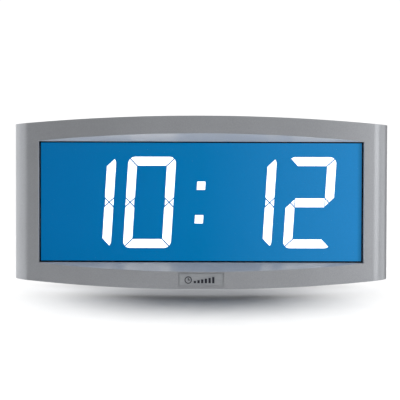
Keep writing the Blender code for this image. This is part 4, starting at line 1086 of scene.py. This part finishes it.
class CLOCK_OT_studio(bpy.types.Operator):
    """Sets the pale sloping floor, the soft lights, the white surroundings and the camera"""
    bl_idname = "clock.studio"
    bl_label = "Studio"

    def execute(self, context):
        studio = context.scene.clock_studio
        low, high = CAD_BOX
        bm = bmesh.new()
        bmesh.ops.create_grid(bm, x_segments=8, y_segments=8, size=studio.floor_reach)
        bmesh.ops.rotate(bm, matrix=Matrix.Rotation(studio.floor_slope, 3, "X"), verts=bm.verts)
        bmesh.ops.translate(bm, vec=(0, 0, low.z - studio.floor_gap), verts=bm.verts)
        floor = shape_object(bm, "studio_floor")
        floor.data.materials.append(floor_paper())

        # a card hung over the paper, out of the camera's sight, gives the soft oval shade below the clock
        bm = bmesh.new()
        bmesh.ops.create_circle(bm, cap_ends=True, radius=1.0, segments=48)
        bmesh.ops.scale(bm, vec=(studio.card_width / 2, studio.card_depth / 2, 1.0), verts=bm.verts)
        bmesh.ops.translate(bm, vec=(0, low.y, low.z + studio.card_height), verts=bm.verts)
        card = shape_object(bm, "shade_card")
        card.data.materials.append(floor.data.materials[0])
        # the paper takes the shade but throws no light back up at the clock
        for helper in (floor, card):
            helper.visible_diffuse = helper.visible_glossy = helper.visible_transmission = False
        floor.visible_shadow = card.visible_camera = False

        key = bpy.data.objects.new("overhead_key", bpy.data.lights.new("overhead_key", "SUN"))
        key.data.energy, key.data.angle = studio.key, studio.key_softness
        context.scene.collection.objects.link(key)
        paper, blocker = bpy.data.collections.new("lit_by_key"), bpy.data.collections.new("shades_key")
        paper.objects.link(floor)
        blocker.objects.link(card)
        key.light_linking.receiver_collection, key.light_linking.blocker_collection = paper, blocker
        clock, solid = bpy.data.collections.new("lit_by_boxes"), bpy.data.collections.new("shades_boxes")
        for group, helper in ((clock, floor), (solid, card)):
            group.objects.link(helper)
            group.collection_objects[0].light_linking.link_state = "EXCLUDE"
        for settings in LIGHTS:
            box = area_light(*settings)
            box.light_linking.receiver_collection, box.light_linking.blocker_collection = clock, solid

        world = bpy.data.worlds.new("white_studio")
        world.use_nodes = True
        context.scene.world = world
        tree = world.node_tree
        tree.nodes.clear()
        seen = add(tree, "LightPath").outputs["Is Camera Ray"]
        walls = add(tree, "Background", {"Color": (1.0, 1.0, 1.0), "Strength": studio.surroundings})
        backdrop = add(tree, "Background", {"Color": (1.0, 1.0, 1.0), "Strength": 1.05})
        both = add(tree, "MixShader", {0: seen, 1: walls.outputs[0], 2: backdrop.outputs[0]})
        output = tree.nodes.new("ShaderNodeOutputWorld")
        tree.links.new(both.outputs[0], output.inputs["Surface"])

        camera = bpy.data.objects.new("camera", bpy.data.cameras.new("camera"))
        context.scene.collection.objects.link(camera)
        camera.data.lens = studio.lens
        camera.data.dof.use_dof = False
        camera.data.clip_start, camera.data.clip_end = 0.01, 50.0
        back = outward(studio.azimuth, studio.elevation)
        camera.location = Vector(studio.aim) + back * studio.distance
        facing = back.to_track_quat("Z", "Y") @ Quaternion((0.0, 0.0, 1.0), studio.roll)
        camera.rotation_euler = facing.to_euler()
        context.scene.camera = camera
        context.scene.view_settings.view_transform = "Standard"
        return {"FINISHED"}


# Settings, panel and registration ----------------------------------------------------------------

def number(name, text, default, **settings):
    return FloatProperty(name=name, description=text, default=default, **settings)


def place(name, text, default, **settings):
    return number(name, text, default, subtype="DISTANCE", unit="LENGTH", precision=5, **settings)


def length(name, text, default, high=1.0):
    return place(name, text, default, min=0.0, max=high)


def turn(name, text, degrees):
    return number(name, text, math.radians(degrees), subtype="ANGLE", unit="ROTATION")


def colour(name, text, code):
    return FloatVectorProperty(name=name, description=text, default=linear(code), size=3, min=0.0, max=1.0,
                               subtype="COLOR")


class ClockCase(bpy.types.PropertyGroup):
    """Sizes of the front moulding"""
    arch: length("Arch", "Rise of the upper and lower edges from the ends to the middle", 6.6 * MM)
    bow: length("Bow", "How far the middle of the front stands ahead of its ends", 14.0 * MM)
    corner: length("Corner radius", "Radius of the upright corners of the case", 14.5 * MM)
    rim: length("Rim radius", "Radius between the face and the upper and lower edges", 2.3 * MM)
    pane_lap: length("Pane lap", "How far the pane reaches behind the window's ledge", 2.6 * MM)
    ledge: length("Ledge", "Thickness of the ledge in front of the pane", 1.5 * MM)
    funnel_wall: length("Funnel wall", "Thickness of the wall round the pane", 2.9 * MM)
    edge_radius: length("Edge radius", "Radius where the reveals meet the ledge", 0.45 * MM)
    reveal_slope: number("Reveal slope", "Rise of the upper and lower reveals for each unit of depth", 0.55)
    side_reveal_slope: number("Side reveal slope", "Spread of the side reveals for each unit of depth", 1.0)
    badge_border: length("Badge border", "Width of the badge's raised border", 0.7 * MM)


class ClockDisplay(bpy.types.PropertyGroup):
    """The time shown and the sizes of its figures"""
    hour: IntProperty(name="Hour", description="Hour shown", default=10, min=0, max=23)
    minute: IntProperty(name="Minute", description="Minute shown", default=12, min=0, max=59)
    figure_height: length("Figure height", "Height of a figure", 69.0 * MM)
    figure_width: length("Figure width", "Width of a figure", 36.1 * MM)
    stroke: length("Stroke", "Width of a segment", 6.7 * MM)
    corner: length("Figure corner", "Radius of a figure's outer corners", 5.1 * MM)
    parting: length("Parting", "Gap between neighbouring segments", 0.85 * MM)
    slant: number("Slant", "Lean to the right for each unit of height", 0.0625)
    figure_z: place("Figure level", "Height of the figures' middle", -0.4 * MM)
    place_1: place("First figure", "Middle of the first figure", -84.4 * MM)
    place_2: place("Second figure", "Middle of the second figure", -39.1 * MM)
    place_3: place("Third figure", "Middle of the third figure", 37.0 * MM)
    place_4: place("Fourth figure", "Middle of the fourth figure", 82.1 * MM)
    colon_x: place("Colon", "Middle of the colon", -0.9 * MM)
    dot: length("Dot", "Side of each square dot", 6.3 * MM)
    dot_z: place("Dot level", "Distance of each dot from the middle", 12.7 * MM)


class ClockColours(bpy.types.PropertyGroup):
    """Colours that change most between versions"""
    case: colour("Case", "Lacquer of the front moulding", "97999D")
    rear: colour("Rear", "Colour of the rear moulding", "53565A")
    # painted light: the glow colours brighten from the left end to the right
    glow_left: colour("Glow, left", "Display at its left end", "00659F")
    glow_middle: colour("Glow, middle", "Display at its middle", "0070AA")
    glow_right: colour("Glow, right", "Display at its right end", "2883C0")
    segments: colour("Segments", "Lit segments", "FFFFFF")


class ClockStudio(bpy.types.PropertyGroup):
    """Camera, floor and lights"""
    azimuth: turn("Camera azimuth", "Camera's turn to the right of straight ahead", 0.0)
    elevation: turn("Camera elevation", "Camera's height above the horizon", 2.0)
    roll: turn("Camera roll", "Camera's lean, anticlockwise", 0.16)
    distance: length("Camera distance", "From the aim to the camera", 1.2, 10.0)
    lens: number("Lens", "Focal length in millimetres", 141.8)
    aim: FloatVectorProperty(name="Aim", description="Point the camera looks at", size=3, subtype="XYZ",
                             unit="LENGTH", default=(-0.95 * MM, -28.0 * MM, 1.2 * MM))
    key: number("Overhead key", "Strength of the overhead light", 5.9)
    key_softness: turn("Key softness", "Apparent width of the overhead light", 80)
    card_width: length("Card width", "Width of the shade card", 200 * MM)
    card_depth: length("Card depth", "Depth of the shade card", 138 * MM)
    card_height: length("Card height", "From the clock's lower edge up to the shade card", 65 * MM)
    surroundings: number("Surroundings", "Brightness of the room around", 0.108)
    floor_reach: length("Floor reach", "Half the floor's side", 6.0, 50.0)
    floor_gap: length("Floor gap", "From the clock's lower back edge down to the floor", 0.4 * MM)
    floor_slope: turn("Floor slope", "How steeply the floor falls towards the camera", 5)


class CLOCK_PT_panel(bpy.types.Panel):
    """Builds the clock piece by piece"""
    bl_label = "Wall clock"
    bl_idname = "CLOCK_PT_panel"
    bl_space_type = "VIEW_3D"
    bl_region_type = "UI"
    bl_category = "Wall clock"

    def draw(self, context):
        for step in STEPS:
            self.layout.operator(step.bl_idname)
        for group in GROUPS:
            settings = getattr(context.scene, group)
            box = self.layout.box()
            box.label(text=settings.bl_rna.name)
            for name in settings.__annotations__:
                box.prop(settings, name)


STEPS = (CLOCK_OT_finishes, CLOCK_OT_front, CLOCK_OT_badge, CLOCK_OT_figures, CLOCK_OT_back,
         CLOCK_OT_wall_plate, CLOCK_OT_fixings, CLOCK_OT_buttons, CLOCK_OT_electronics, CLOCK_OT_studio)
GROUPS = {"clock_case": ClockCase, "clock_display": ClockDisplay, "clock_colours": ClockColours,
          "clock_studio": ClockStudio}


def register():
    for made in (*GROUPS.values(), *STEPS, CLOCK_PT_panel):
        bpy.utils.register_class(made)
    for name, group in GROUPS.items():
        setattr(bpy.types.Scene, name, PointerProperty(type=group))


def unregister():
    for name in GROUPS:
        delattr(bpy.types.Scene, name)
    for made in (CLOCK_PT_panel, *reversed(STEPS), *reversed(GROUPS.values())):
        bpy.utils.unregister_class(made)


def main():
    register()
    for step in STEPS:
        area, name = step.bl_idname.split(".")
        getattr(getattr(bpy.ops, area), name)()


if __name__ == "__main__":
    main()
